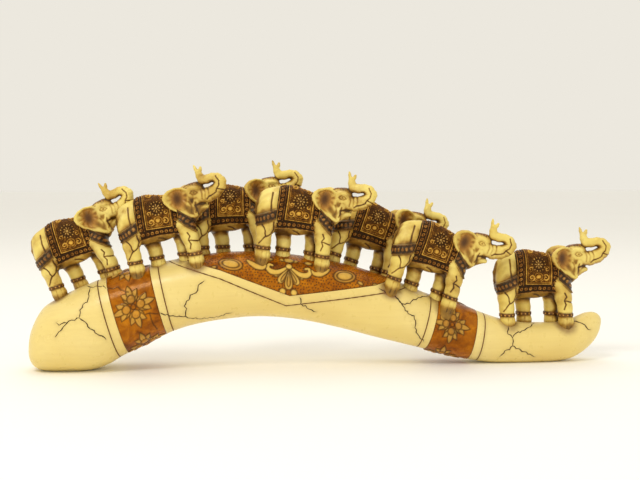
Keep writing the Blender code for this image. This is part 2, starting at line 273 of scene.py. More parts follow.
HEAD_BALLS = (
    ((25.6, 0.0, 47.0), (7.8, 6.3, 8.0)),
    ((26.2, -2.2, 50.8), (5.2, 3.3, 4.3)),
    ((26.2, 2.2, 50.8), (5.2, 3.3, 4.3)),
    ((30.6, 0.0, 51.6), (4.6, 4.2, 4.6)),
    ((27.0, -3.4, 44.0), (5.6, 3.5, 5.6)),
    ((27.0, 3.4, 44.0), (5.6, 3.5, 5.6)),
    ((27.2, 0.0, 38.8), (6.2, 4.3, 5.0)),
    ((23.4, 0.0, 35.2), (5.6, 3.9, 6.0)),
)
LIP = ((28.4, 38.9, 3.5), (32.2, 39.2, 2.5), (35.0, 39.2, 1.6))
TRUNK = (
    (28.0, 47.2, 6.0),
    (32.6, 46.6, 5.5),
    (37.4, 46.8, 5.0),
    (42.4, 48.3, 4.7),
    (46.4, 51.5, 4.3),
    (47.7, 54.8, 3.9),
    (45.8, 57.4, 3.4),
    (42.4, 58.3, 3.0),
    (38.4, 57.5, 3.1),
    (34.8, 57.4, 3.1),
    (33.3, 60.4, 2.5),
    (32.7, 63.0, 2.1),
)
TRUNK_FINGERS = (
    ((32.5, 63.0, 1.9), (31.1, 65.6, 1.2), (30.3, 67.8, 0.6)),
    ((33.0, 62.6, 1.8), (34.4, 64.4, 1.3), (34.9, 66.0, 0.9)),
)
TRUNK_CURL = (40.0, 53.6)  # the middle of the trunk's curl, for its wrinkles
NOSTRIL = ((32.7, 0.0, 66.2), (0.9, 1.2, 1.9))
NECK_LINK = ((14.0, 0.0, 41.0), (23.0, 0.0, 43.0), 6.0, 5.4)
EYE = (29.2, 5.7, 50.0)
EYE_RIM = ((26.7, 49.9), (28.2, 51.3), (30.2, 51.1), (31.8, 49.6), (30.0, 48.7), (28.2, 48.8), (26.7, 49.9))
PUPIL = (29.3, 50.0)
EAR_ROOT = (24.6, 4.4, 52.6)
EAR_FLARE = 32.0
EAR_SCALE = (1.22, 0.95)  # forward, up
EAR_OUTLINE = (  # (forward, up) from the root's top, in the ear's own plane
    (0.0, 0.0), (-3.5, 2.2), (-7.6, 2.6), (-11.7, 1.2), (-14.4, -1.5), (-15.3, -4.5),
    (-14.4, -8.0), (-11.7, -12.1), (-7.6, -15.4), (-4.1, -17.8), (-1.2, -20.0), (1.8, -21.6),
    (3.9, -20.0), (3.2, -11.5), (2.4, -5.6),
)
EAR_HOLLOW = (-6.4, -5.8)
EAR_BULGE, EAR_CUP = 1.5, 3.0  # how far the sheet stands out, and sinks in the hollow
EAR_FOLDS, EAR_FOLD = 9.0, 0.42  # how many folds round the hollow, and their height
EAR_HALF, EAR_RIM = 0.9, 0.5  # half the thickness, and what the rolled rim adds

# Cracks on each casting, seen from its side.
BODY_CRACKS = (
    ((18.0, 23.5), (19.4, 21.0), (18.0, 18.1), (19.4, 15.3), (18.3, 12.2)),
    ((18.0, 18.1), (21.5, 17.4), (24.4, 16.7), (26.0, 18.1)),
    ((-16.1, 26.6), (-15.4, 21.7), (-16.8, 18.1), (-20.4, 16.0), (-22.5, 13.1), (-23.9, 11.0)),
    ((-15.6, 19.0), (-15.4, 14.6), (-11.9, 13.1)),
    ((-1.9, 22.4), (1.0, 21.6), (3.1, 20.2)),
    ((-23.6, 23.6), (-21.0, 20.2), (-20.0, 16.2)),
)
RUMP_LINE = ((-19.4, 46.0), (-19.7, 39.4), (-19.0, 33.8))
HEAD_CRACKS = (
    ((45.7, 59.3), (48.0, 55.9), (47.6, 52.9), (45.9, 50.8), (44.9, 48.6), (41.3, 46.7), (37.8, 44.6)),
    ((45.9, 50.8), (49.9, 49.3)),
)
FACE_FOLDS = (  # under the eye, on the cheek and round the trunk's root
    ((25.8, 47.6), (27.8, 46.0), (30.6, 46.3)),
    ((25.2, 44.2), (26.6, 41.4), (26.2, 38.4)),
    ((33.6, 51.4), (34.9, 48.6), (34.6, 45.0)),
    ((36.0, 51.6), (37.3, 48.8), (37.0, 45.2)),
    ((38.6, 52.0), (39.8, 49.2), (39.7, 46.2)),
)
MOUTH = ((29.4, 41.0), (32.0, 41.9), (36.5, 41.9))
MOUTH_CORNER = ((29.8, 43.4), (29.2, 41.0), (29.4, 38.6), (28.6, 36.4))
KINKS = (1.6, 0.35)  # how far apart a crack's kinks are, and how far they stray
TUSK_KINKS, GLAZE_KINKS = (1.4, 0.6), (1.6, 0.4)
HEAD_SEED, GLAZE_SEED = 20, 50  # added to the random seeds of those cracks
CRACK_GROOVE = (0.5, 0.38)  # depth, half width

# The brown wash in crevices (close) and the painted shade between the forms (wide), by how much solid lies
# round a point: gain, the share where it starts, its most.
CLOSE_WASH = (3.4, 0.51, 0.4)
# painted shade where much solid lies round a point, as between the legs and under the body
WIDE_SHADE = (4.6, 0.44, 0.5)
CLOSE_REACH, WIDE_REACHES = 2, (6, 5)  # how many samples that takes in to each side
CRACK_WASH, CRACK_SPREAD = 0.85, 0.36
SHOULDER_X, BELLY_Z = 30.0, 28.0  # the body's cracks are painted behind and below these

# The saddle cloth, from its rear edge to its front edge.
CLOTH_BACK = (
    (-15.6, 50.4), (-12.0, 51.9), (-7.9, 52.6), (-1.0, 51.7), (5.9, 50.3), (10.0, 49.4), (14.2, 48.7),
)
CLOTH_HEM = ((-15.6, 22.0), (-1.0, 24.0), (14.2, 23.4))
CLOTH_MIDDLE_Z = 35.4
CLOTH_HALF_WIDTH = 9.95
CLOTH_POWER = 2.35
CLOTH_STEP = 0.24
CLOTH_THICKNESS = 1.3
CLOTH_DROP = 17.0  # from the widest place to where the section would close
CLOTH_REACH = 33.0  # from the ridge to the hem, roughly
CLOTH_LEVELS = (29.7, 43.1, 34.8)  # heights of the frame's foot, the rosette and the gem
CLOTH_SINK, CLOTH_BASE = -0.75, 0.65  # the edges' level, and how far the ground stands above it
CLOTH_RIM = 0.5
FRAME_X, ROSETTE_X, BORDER_X = -0.2, -0.3, -0.7
BORDER_PITCH = 3.2


# ---- Numbers ----


def smooth(start, end, value):
    """0 at start, 1 at end, eased between them."""
    t = np.clip((value - start) / (end - start), 0.0, 1.0)
    return t * t * (3.0 - 2.0 * t)


def bell(value, width):
    """1 at 0, falling off to both sides."""
    return np.exp(-((value / width) ** 2))


def segment(start, end, x, z):
    """How far along a straight segment each (x, z) lies, 0 to 1, and how far away from it."""
    dx, dz = end[0] - start[0], end[1] - start[1]
    along = np.clip(((x - start[0]) * dx + (z - start[1]) * dz) / (dx * dx + dz * dz), 0.0, 1.0)
    return along, np.hypot(x - start[0] - along * dx, z - start[1] - along * dz)


def route_distance(route, x, z):
    """How far each (x, z) lies from a line through the route's points."""
    return np.minimum.reduce([segment(start, end, x, z)[1] for start, end in zip(route, route[1:])])


def routes_distance(routes, x, z):
    """How far each (x, z) lies from the nearest of several routes."""
    return np.minimum.reduce([route_distance(route, x, z) for route in routes])


def scored(routes, x, z, depth, width):
    """The depths of grooves along several routes, added up."""
    return sum(depth * bell(route_distance(route, x, z), width) for route in routes)


def jagged(route, step, wander, seed):
    """A route with small random kinks, like a real crack's."""
    chance = np.random.default_rng(seed)
    points = [np.array(route[0])]
    for start, end in zip(route, route[1:]):
        start, end = np.array(start), np.array(end)
        count = max(1, int(np.linalg.norm(end - start) / step))
        for part in range(1, count + 1):
            spot = start + (end - start) * part / count
            shake = wander if part < count else wander * 0.3
            points.append(spot + chance.uniform(-shake, shake, 2))
    return [tuple(point) for point in points]


def curved(route, parts=6):
    """A smooth curve through the route's points, with that many parts between each two."""
    spots = [np.array(point) for point in (route[0], *route, route[-1])]
    curve = []
    for before, start, end, after in zip(spots, spots[1:], spots[2:], spots[3:]):
        bend = 2 * before - 5 * start + 4 * end - after
        swing = 3 * (start - end) + after - before
        for t in np.arange(parts) / parts:
            curve.append(start + 0.5 * t * (end - before + t * (bend + t * swing)))
    return curve + [spots[-1]]


def outline_distance(outline, u, v):
    """Signed distance to a closed flat outline, negative inside."""
    corners = [*outline, outline[0]]
    inside = np.zeros(np.broadcast(u, v).shape, bool)
    for (u1, v1), (u2, v2) in zip(corners, corners[1:]):
        crosses = (v1 > v) != (v2 > v)
        slope = (u2 - u1) / (v2 - v1) if v2 != v1 else 0.0
        inside ^= crosses & (u < u1 + (v - v1) * slope)
    away = route_distance(corners, u, v)
    return np.where(inside, -away, away)


def polar(p, q):
    """Distance and angle from the origin."""
    return np.hypot(p, q), np.arctan2(q, p)


# ---- Meshes ----


def make_piece(name, points, faces, coat, layers=None):
    """A smooth piece from points in metres, with float layers on its points."""
    mesh = bpy.data.meshes.new(name)
    mesh.from_pydata(np.asarray(points).tolist(), [], faces)
    mesh.materials.append(coat)
    mesh.shade_smooth()
    for layer, values in (layers or {}).items():
        held = mesh.attributes.new(layer, "FLOAT", "POINT")
        held.data.foreach_set("value", np.ascontiguousarray(values, np.float32))
    piece = bpy.data.objects.new(name, mesh)
    bpy.context.scene.collection.objects.link(piece)
    return piece


def tube_faces(rows, columns, ring=False):
    """Quads of a tube whose rows of points each go round it; a ring also joins its two ends."""
    i, j = np.meshgrid(np.arange(rows if ring else rows - 1), np.arange(columns), indexing="ij")
    below, beside = (i + 1) % rows, (j + 1) % columns
    corners = (i * columns + j, i * columns + beside, below * columns + beside, below * columns + j)
    return np.stack([corner.ravel() for corner in corners], 1).tolist()


def end_faces(rows, columns):
    """The two faces that close such a tube."""
    last = (rows - 1) * columns
    return [list(range(columns))[::-1], list(range(last, last + columns))]


# ---- Clay: signed distances on an even grid ----


def melt_together(first, second, melt):
    """The union of two distances, with a soft fillet of that size."""
    share = np.clip(0.5 + 0.5 * (first - second) / melt, 0.0, 1.0)
    return first + (second - first) * share - melt * share * (1.0 - share)


class Clay:
    """A block of clay as distances in millimetres, negative inside the form."""

    def __init__(self, low, high):
        self.low = np.array(low)
        self.counts = np.ceil((np.array(high) - self.low) / CLAY_STEP).astype(int) + 1
        self.axes = [start + CLAY_STEP * np.arange(n) for start, n in zip(self.low, self.counts)]
        self.field = np.full(self.counts, FAR_AWAY, np.float32)

    def window(self, low, high):
        """The part of the block between two corners, and its open x, y and z."""
        first = np.clip(((np.array(low) - self.low) / CLAY_STEP).astype(int), 0, self.counts - 1)
        last = np.clip(((np.array(high) - self.low) / CLAY_STEP).astype(int) + 2, 1, self.counts)
        part = tuple(slice(a, b) for a, b in zip(first, last))
        x, y, z = (axis[cut] for axis, cut in zip(self.axes, part))
        return part, x[:, None, None], y[None, :, None], z[None, None, :]

    def add(self, form, melt, sign=1):
        """Adds a form with a soft fillet; a sign of -1 takes it away instead."""
        low, high, distance = form
        part, x, y, z = self.window(np.array(low) - melt - 1.0, np.array(high) + melt + 1.0)
        self.field[part] = sign * melt_together(sign * self.field[part], distance(x, y, z), melt)

    def carve(self, form, melt):
        self.add(form, melt, -1)

    def press(self, depth):
        """Sinks the whole surface by depth(x, z), a map seen from the side."""
        x, z = self.axes[0][:, None], self.axes[2][None, :]
        self.field += depth(x, z).astype(np.float32)[:, None, :]

    def sink(self, low, high, depth, within=np.inf):
        """Sinks the surface between two corners by depth(x, y, z); a negative depth raises it."""
        part, x, y, z = self.window(low, high)
        near = np.abs(self.field[part]) < within
        self.field[part] += (depth(x, y, z) * near).astype(np.float32)

    def score_toes(self, toe):
        """Short upright grooves between the toes at the front of a foot."""
        reach = np.array((8.0, 8.0, 5.0))
        low_z, high_z = toe[2] + 1.6, toe[2] + 3.4
        for angle in TOE_ANGLES:

            def groove(x, y, z):
                turn = np.arctan2(y - toe[1], x - toe[0])
                return TOE_DEPTH * (bell((turn - angle) * 5.0, 0.5) * smooth(high_z, low_z, z))

            self.sink(toe - reach, toe + reach, groove, 3.0)

    def sample(self, field, points):
        """Values of a field at points, smoothly between the grid's."""
        spot = (points - self.low) / CLAY_STEP
        base = np.clip(spot.astype(int), 0, self.counts - 2)
        rest = spot - base
        total = 0.0
        for corner in np.ndindex(2, 2, 2):
            share = np.prod(np.where(corner, rest, 1.0 - rest), axis=1)
            index = base + corner
            total = total + share * field[index[:, 0], index[:, 1], index[:, 2]]
        return total


def ball(centre, radii):
    """An ellipsoid."""
    centre, radii = np.array(centre), np.array(radii)

    def distance(x, y, z):
        p = [(value - middle) for value, middle in zip((x, y, z), centre)]
        whole = np.sqrt(sum((value / radius) ** 2 for value, radius in zip(p, radii)))
        slope = np.sqrt(sum((value / radius**2) ** 2 for value, radius in zip(p, radii)))
        return whole * (whole - 1.0) / np.maximum(slope, 1e-5)

    return centre - radii, centre + radii, distance


def link(start, end, start_radius, end_radius):
    """A round, tapered link between two points."""
    start, end = np.array(start, float), np.array(end, float)
    along = end - start

    def distance(x, y, z):
        p = (x - start[0], y - start[1], z - start[2])
        t = np.clip(sum(a * b for a, b in zip(p, along)) / along.dot(along), 0.0, 1.0)
        away = np.sqrt(sum((a - t * b) ** 2 for a, b in zip(p, along)))
        return away - (start_radius + (end_radius - start_radius) * t)

    reach = max(start_radius, end_radius)
    return np.minimum(start, end) - reach, np.maximum(start, end) + reach, distance


def chain(points, y):
    """Links through (x, z, radius) points at one y."""
    for (x1, z1, r1), (x2, z2, r2) in zip(points, points[1:]):
        yield link((x1, y, z1), (x2, y, z2), r1, r2)


def hoop(centre, radius, half_height, round_off=0.5):
    """A flat upright disc with rounded rims, for an anklet."""
    cx, cy, cz = centre

    def distance(x, y, z):
        out = np.hypot(x - cx, y - cy) - radius + round_off
        up = np.abs(z - cz) - half_height + round_off
        outside = np.hypot(np.maximum(out, 0.0), np.maximum(up, 0.0))
        return outside + np.minimum(np.maximum(out, up), 0.0) - round_off

    size = np.array((radius, radius, half_height))
    return np.array(centre) - size, np.array(centre) + size, distance


def ear_plane(side, x, y, z):
    """(forward, up, outward) of points in the plane of one ear."""
    flare = radians(EAR_FLARE)
    root_x, root_y, root_z = EAR_ROOT
    dx, dy = x - root_x, y - side * root_y
    forward = dx * cos(flare) - side * dy * sin(flare)
    outward = dx * sin(flare) + side * dy * cos(flare)
    return forward / EAR_SCALE[0], (z - root_z) / EAR_SCALE[1], outward


def ear(side):
    """A cupped ear with a thick rolled rim and folds round its hollow."""

    def distance(x, y, z):
        u, v, w = ear_plane(side, x, y, z)
        edge = outline_distance(EAR_OUTLINE, u, v)
        across, up = u - EAR_HOLLOW[0], v - EAR_HOLLOW[1]
        cup = smooth(9.6, 1.2, np.hypot(across * 1.2, up * 0.72)) * smooth(0.3, 2.4, -edge)
        folds = EAR_FOLD * np.cos(EAR_FOLDS * np.arctan2(up, across)) * smooth(0.5, 4.0, -edge)
        sheet = EAR_BULGE - EAR_CUP * cup + folds * smooth(1.5, 5.0, np.hypot(across, up))
        half = EAR_HALF + EAR_RIM * bell(edge + 1.0, 1.1)
        return -melt_together(-edge, half - np.abs(w - sheet), 1.4)

    root = np.array((EAR_ROOT[0], side * EAR_ROOT[1], EAR_ROOT[2]))
    return root - (18.0, 14.0, 23.5), root + (6.5, 14.0, 5.0), distance


# ---- The elephants' castings ----


def band_place(band, x, z):
    """How far each (x, z) lies across and along a band, seen from the side."""
    a, b, offset = band
    return a * x + b * z - offset, b * x - a * z


def band_pattern(x, z):
    """The collar over the chest and the strap round the rump: 0 off them, up to 1 on them."""
    collar, strap = band_place(COLLAR, x, z)[0], band_place(STRAP, x, z)[0]
    on_collar = smooth(*BAND_EDGE, np.abs(collar)) * smooth(*COLLAR_START, x)
    on_strap = smooth(*BAND_EDGE, np.abs(strap)) * smooth(*STRAP_START, x)
    return np.maximum(on_collar, on_strap)


def band_bosses(x, y, z):
    """Round bosses along both bands, 0 to 1, with a cord along each rim."""
    across, along = np.where(x > 0.0, band_place(COLLAR, x, z), band_place(STRAP, x, z))
    repeat = np.mod(along + 0.6 * np.abs(y), BOSS_PITCH) - BOSS_PITCH / 2
    boss = smooth(1.45, 0.7, np.hypot(repeat, across * 0.8))
    cord = bell(np.abs(across) - 2.6, 0.4)
    return np.clip(boss + 0.7 * cord, 0.0, 1.0)


def band_relief(x, y, z):
    """The bands' depth for Clay.sink, negative because they stand proud."""
    return -band_pattern(x, z) * (0.75 + 0.45 * band_bosses(x, y, z))


def sculpt_body():
    """The body, legs and tail that all the castings share."""
    clay = Clay(CLAY_LOW, CLAY_HIGH)
    for centre, radii in BODY_BALLS:
        clay.add(ball(centre, radii), BODY_MELT)
    (top_x, top_z, top_radius), (toe_x, toe_z, toe_radius) = FOOT
    for points, side in LEGS:
        for form in chain(points, side * LEG_Y):
            clay.add(form, LEG_MELT)
        ankle_x = points[-1][0]
        top = (ankle_x + top_x, side * LEG_Y, top_z)
        toe = (ankle_x + toe_x, side * LEG_Y, toe_z)
        clay.add(link(top, toe, top_radius, toe_radius), FOOT_MELT)
        clay.add(link(toe, (*toe[:2], FOOT_DEPTH), *SOLE_RADII), FOOT_MELT)
        clay.score_toes(toe)
    for low, high in BAND_WINDOWS:
        clay.sink(low, high, band_relief, 4.0)
    for form in chain(TAIL, 0.0):
        clay.add(form, TAIL_MELT)
    z_ring, radius, half = ANKLET
    for points, side in LEGS:
        clay.add(hoop((points[-1][0], side * LEG_Y, z_ring), radius, half), ANKLET_MELT)
    cracks = [jagged(route, *KINKS, seed) for seed, route in enumerate(BODY_CRACKS)]

    def grooves(x, z):
        deep = np.minimum(scored(cracks, x, z, *CRACK_GROOVE), CRACK_GROOVE[0])
        return deep + scored([RUMP_LINE], x, z, 0.35, 0.5)

    clay.press(grooves)
    return clay, cracks


def add_eye(head, side):
    """One eye: a socket under the brow, the ball and two lids."""
    x, y, z = EYE
    y *= side
    head.add(ball((x - 0.6, y * 0.86, z + 2.6), (4.0, 1.7, 1.5)), 1.2)
    head.carve(ball((x, y * 1.10, z), (2.7, 1.3, 1.9)), 0.8)
    head.add(ball((x, y * 0.84, z), (1.5, 1.3, 1.3)), 0.2)
    for lift, tilt in ((1.35, 0.5), (-1.35, -0.3)):
        head.add(link((x - 2.3, y * 0.86, z + 0.2), (x, y * 0.95, z + lift), 0.5, 0.6), 0.3)
        head.add(link((x, y * 0.95, z + lift), (x + 2.4, y * 0.84, z + tilt), 0.6, 0.45), 0.3)


def sculpt_head():
    """The head looking straight on, with its trunk and ears."""
    head = Clay(HEAD_LOW, HEAD_HIGH)
    for centre, radii in HEAD_BALLS:
        head.add(ball(centre, radii), HEAD_MELT)
    head.add(link(*NECK_LINK), HEAD_MELT)
    fingers = [(finger, FINGER_MELT) for finger in TRUNK_FINGERS]
    for points, melt in ((LIP, LIP_MELT), (TRUNK, TRUNK_MELT), *fingers):
        for form in chain(points, 0.0):
            head.add(form, melt)
    head.carve(ball(*NOSTRIL), 0.4)
    for side in (-1, 1):
        add_eye(head, side)
        head.carve(ball((27.4, side * 7.4, 45.8), (1.6, 1.7, 3.4)), 1.4)
    cracks = [jagged(route, *KINKS, seed + HEAD_SEED) for seed, route in enumerate(HEAD_CRACKS)]

    def grooves(x, z):
        lips = scored([MOUTH], x, z, 0.5, 0.45) + scored([MOUTH_CORNER], x, z, 0.4, 0.45)
        folds = scored(FACE_FOLDS, x, z, 0.24, 0.5)
        return np.minimum(scored(cracks, x, z, *CRACK_GROOVE) + lips + folds, 0.8)

    def wrinkles(x, y, z):
        turn = np.arctan2(z - TRUNK_CURL[1], x - TRUNK_CURL[0])
        return 0.10 * np.cos(26.0 * turn) * smooth(36.0, 41.0, x)

    def weave(x, y, z):
        return -headcloth(x, y, z) * (0.45 + 0.3 * np.cos(tau * x / 1.9) * np.cos(tau * y / 2.2))

    head.press(grooves)
    head.sink(*TRUNK_WINDOW, wrinkles)
    head.sink(*HEADCLOTH_WINDOW, weave)
    for side in (-1, 1):
        head.add(ear(side), EAR_MELT)
    return head, cracks


def headcloth(x, y, z):
    """Where the cloth lies on the top of the head: 0 to 1."""
    along = smooth(21.0, 21.8, x) * smooth(31.4, 30.6, x)
    return along * smooth(4.2, 3.6, np.abs(y)) * smooth(51.0, 52.4, z) * smooth(57.4, 56.8, z)


def facing(x, y, turn):
    """Where each (x, y) of a turned head lies on the head that looks straight on."""
    angle = radians(turn)
    dx, dy = x - NECK[0], y - NECK[1]
    return dx * cos(angle) - dy * sin(angle) + NECK[0], dx * sin(angle) + dy * cos(angle) + NECK[1]


def turned_head(head, clay, turn):
    """The head's distances on the body's grid, turned on the neck towards -Y."""
    source_x, source_y = facing(clay.axes[0][:, None], clay.axes[1][None, :], turn)
    source_x = (source_x - head.low[0]) / CLAY_STEP
    source_y = (source_y - head.low[1]) / CLAY_STEP
    first_z = int(round((head.low[2] - clay.low[2]) / CLAY_STEP))
    count = min(head.counts[2], clay.counts[2] - first_z)
    inside = (source_x >= 0) & (source_y >= 0)
    inside &= (source_x < head.counts[0] - 1) & (source_y < head.counts[1] - 1)
    sx, sy = source_x[inside], source_y[inside]
    ix, iy = sx.astype(int), sy.astype(int)
    fx, fy = (sx - ix)[:, None], (sy - iy)[:, None]
    field = head.field[:, :, :count]
    mixed = field[ix, iy] * (1 - fx) * (1 - fy) + field[ix + 1, iy] * fx * (1 - fy)
    mixed += field[ix, iy + 1] * (1 - fx) * fy + field[ix + 1, iy + 1] * fx * fy
    columns = np.full((len(mixed), clay.counts[2]), FAR_AWAY, np.float32)
    columns[:, first_z:first_z + count] = mixed
    out = np.full(clay.counts, FAR_AWAY, np.float32)
    out[inside] = columns
    return out


def box_blur(field, reach):
    """A running mean over 2 * reach + 1 samples along each axis."""
    size = 2 * reach + 1
    for axis, count in enumerate(field.shape):
        pad = [(0, 0)] * 3
        pad[axis] = (reach + 1, reach)
        sums = np.cumsum(np.pad(field, pad, "edge"), axis, dtype=np.float32)
        high = np.take(sums, range(size, size + count), axis)
        low = np.take(sums, range(count), axis)
        field = (high - low) / size
    return field


def skin_layers(clay, field, points, turn, cracks, head_cracks):
    """The brown wash with painted shade under and between the forms, the painted cloth and the ears' dark
    hollows, for each point.
    """
    solid = np.clip(0.5 - field / CLAY_STEP, 0.0, 1.0)
    near_solid = box_blur(solid, CLOSE_REACH)
    close = clay.sample(near_solid, points)
    for reach in WIDE_REACHES:
        solid = box_blur(solid, reach)
    wide = clay.sample(solid, points)

    def change(*step):
        """How much more solid lies one step ahead than one step back."""
        return clay.sample(near_solid, points + step) - clay.sample(near_solid, points - step)

    x, y, z = points.T
    hx, hy = facing(x, y, turn)
    flank = smooth(0.15, 0.45, np.abs(change(0.0, 1.0, 0.0)))
    # close: the brown wash in the crevices; wide: painted shade between the forms
    wash_and_shade = sum(gain * np.clip(share - start, 0.0, most)
               for share, (gain, start, most) in ((close, CLOSE_WASH), (wide, WIDE_SHADE)))
    # painted shade on the undersides, where more solid lies above than below; darker towards the soles,
    # partly painted contact shade and partly stain
    wash_and_shade += 0.42 * smooth(0.1, 0.9, change(0.0, 0.0, 1.0)) + 0.5 * smooth(4.5, -0.5, z)
    wash_and_shade += line_wash(x, y, z, hx, cracks, head_cracks, flank)
    wash_and_shade, hollow = face_wash(wash_and_shade, hx, hy, z)
    cloth, bead = strap_paint(x, y, z, hx, hy, close)
    layers = {"wash_and_shade": wash_and_shade, "hollow": hollow, "cloth": cloth, "bead": bead}
    return {name: np.clip(values, 0.0, 1.0) for name, values in layers.items()}


def line_wash(x, y, z, hx, cracks, head_cracks, flank):
    """Wash in the cracks, the folds, the mouth and along the tail."""
    wash_and_shade = CRACK_WASH * bell(routes_distance(cracks, x, z), CRACK_SPREAD) * flank
    wash_and_shade *= (x < SHOULDER_X) * (z < BELLY_Z)
    wash_and_shade += scored([RUMP_LINE], x, z, 0.55, 0.45) * flank
    tail = smooth(-24.6, -27.5, x + 0.12 * (z - 36.0)) * smooth(3.4, 1.6, np.abs(y))
    wash_and_shade += 0.5 * tail * (z > 24.0)
    head = CRACK_WASH * bell(routes_distance(head_cracks, hx, z), CRACK_SPREAD) * flank
    wash_and_shade += head * (hx > 29.0) * (z > 36.0)
    wash_and_shade += scored([MOUTH], hx, z, 0.8, 0.6) * (hx > 27.0) * (hx < 37.5)
    wash_and_shade += scored([MOUTH_CORNER], hx, z, 0.5, 0.5) * (hx > 26.0)
    return wash_and_shade + 0.22 * bell(routes_distance(FACE_FOLDS, hx, z), 0.6) * flank * (hx > 24.0)


def face_wash(wash_and_shade, hx, hy, z):
    """The wash and painted shade, cleaned round the eyes and with the eyes painted, and the dark of the
    ears' hollows.
    """
    eye = np.hypot(hx - EYE[0], (z - EYE[2]) * 1.2)
    rim = bell(route_distance(EYE_RIM, hx, z), 0.36)
    pupil = smooth(0.95, 0.55, np.hypot(hx - PUPIL[0], z - PUPIL[1]))
    painted = 0.28 * smooth(3.4, 1.8, eye) + 1.4 * np.maximum(rim, pupil)
    hollow = np.zeros(len(z))
    for side in (-1, 1):
        u, v, w = ear_plane(side, hx, hy, z)
        away = np.hypot((u - EAR_HOLLOW[0]) * 1.25, (v - EAR_HOLLOW[1]) * 0.72)
        on_ear = smooth(-3.2, -2.4, w) * smooth(2.9, 1.8, w) * (outline_distance(EAR_OUTLINE, u, v) < -0.6)
        hollow = np.maximum(hollow, smooth(8.2, 0.6, away) * on_ear)
        wash_and_shade = wash_and_shade * (1.0 - 0.75 * smooth(6.5, 3.0, eye) * (np.abs(hy) > 2.0))
        wash_and_shade += painted * (side * hy > 2.0)
    return wash_and_shade, hollow


def strap_paint(x, y, z, hx, hy, close):
    """Where the bands, anklets and the headcloth are painted, and how worn their paint is."""
    z_ring, radius, half = ANKLET
    bands = band_pattern(x, z) * (hx < 30.0) * (z < 42.0)
    rings = smooth(half + 0.25, half - 0.15, np.abs(z - z_ring)) * (z < 12.0)
    bead = np.where(bands > 0.2, 0.05 + 0.6 * band_bosses(x, y, z), 0.45 - 2.4 * (close - 0.5))
    for route, side in LEGS:
        away, around = polar(x - route[-1][0], y - side * LEG_Y)
        dots = smooth(0.2, 0.9, np.cos(12.0 * around)) * smooth(0.8, 0.3, np.abs(z - z_ring))
        bead = np.where((away < radius + 1.0) & (rings > 0.3), 0.38 + 0.7 * dots, bead)
    return np.maximum.reduce([bands, rings, headcloth(hx, hy, z)]), bead


def cast_elephant(name, body, head, cracks, head_cracks, turn, place, coat):
    """One elephant without its saddle cloth."""
    field = melt_together(body.field, turned_head(head, body, turn), NECK_MELT)
    grid = openvdb.FloatGrid(FAR_AWAY)
    grid.copyFromArray(np.ascontiguousarray(field, np.float32))
    points, quads = grid.convertToQuads(isovalue=0.0)
    points = points.astype(float) * CLAY_STEP + body.low
    layers = skin_layers(body, field, points, turn, cracks, head_cracks)
    placed = placed_points(points, place)
    return make_piece(name, placed, quads.astype(int).tolist(), coat, layers)


def placed_points(points, place):
    """Points of an elephant's own frame, in metres in the figurine's frame."""
    matrix = np.array(place)
    return points @ matrix[:3, :3].T + matrix[:3, 3]


def middle(node):
    """The middle of a CAD node's box."""
    low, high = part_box(node)
    return (low + high) / 2


def stance(name, pinned, roll):
    """How an elephant stands, worked out from its two pins."""
    front_x, rear_x, side = FEET[pinned]
    front, rear = middle(name + "_pin_front"), middle(name + "_pin_rear")
    span = front - rear
    size = span.length / (front_x - rear_x)
    pitch = atan2(span.z, span.x)
    turn = Matrix.Rotation(-pitch, 3, "Y") @ Matrix.Rotation(radians(roll), 3, "X")
    between = Vector(((front_x + rear_x) / 2 * size, side * LEG_Y * size, PIN_MIDDLE * MM))
    origin = (front + rear) / 2 - turn @ between
    return Matrix.Translation(origin) @ turn.to_4x4() @ Matrix.Diagonal((size, size, size, 1.0))


# ---- The saddle cloths ----


def cloth_profile(x):
    """The cloth's section at x, hem to hem over the back: y, z and length from the ridge."""
    top = np.interp(x, *zip(*CLOTH_BACK)) - CLOTH_MIDDLE_Z
    angle = np.linspace(0.0, pi, 721)
    rise = np.cos(angle)
    z = np.where(rise > 0, top, -CLOTH_DROP) * np.abs(rise) ** (2 / CLOTH_POWER)
    y = CLOTH_HALF_WIDTH * np.sin(angle) ** (2 / CLOTH_POWER)
    reach = np.concatenate([[0.0], np.cumsum(np.hypot(np.diff(y), np.diff(z)))])
    keep = z >= np.interp(x, *zip(*CLOTH_HEM)) - CLOTH_MIDDLE_Z
    return y[keep], z[keep] + CLOTH_MIDDLE_Z, reach[keep]


def petals(p, q, radius, count):
    """A carved rosette: petals round a central bead."""
    away, angle = polar(p, q)
    petal = (0.5 + 0.5 * np.cos(count * angle)) * smooth(radius, radius * 0.75, away)
    petal *= smooth(radius * 0.18, radius * 0.4, away)
    return np.maximum(petal, smooth(radius * 0.3, radius * 0.15, away))


def spiral(p, q, hand, pitch, radius):
    """A carved scroll, as a ridge winding out to the radius."""
    away, angle = polar(p, q)
    ridge = 0.5 + 0.5 * np.cos(angle * hand - tau * away / pitch)
    return ridge * smooth(radius, radius * 0.8, away)


def cloth_frame(x, s, frame_low):
    """The double cord round the ornament, whose foot is frame_low down from the ridge."""
    off = np.abs(x - FRAME_X)
    across = smooth(9.0, 8.7, off)
    sides = np.maximum(bell(off - 8.7, 0.34), bell(off - 7.6, 0.26) * 0.7)
    foot = [bell(s - frame_low, 0.34) * across, 0.7 * bell(s - frame_low + 1.1, 0.26) * across]
    return np.maximum.reduce([sides * smooth(frame_low + 0.4, frame_low, s), *foot])


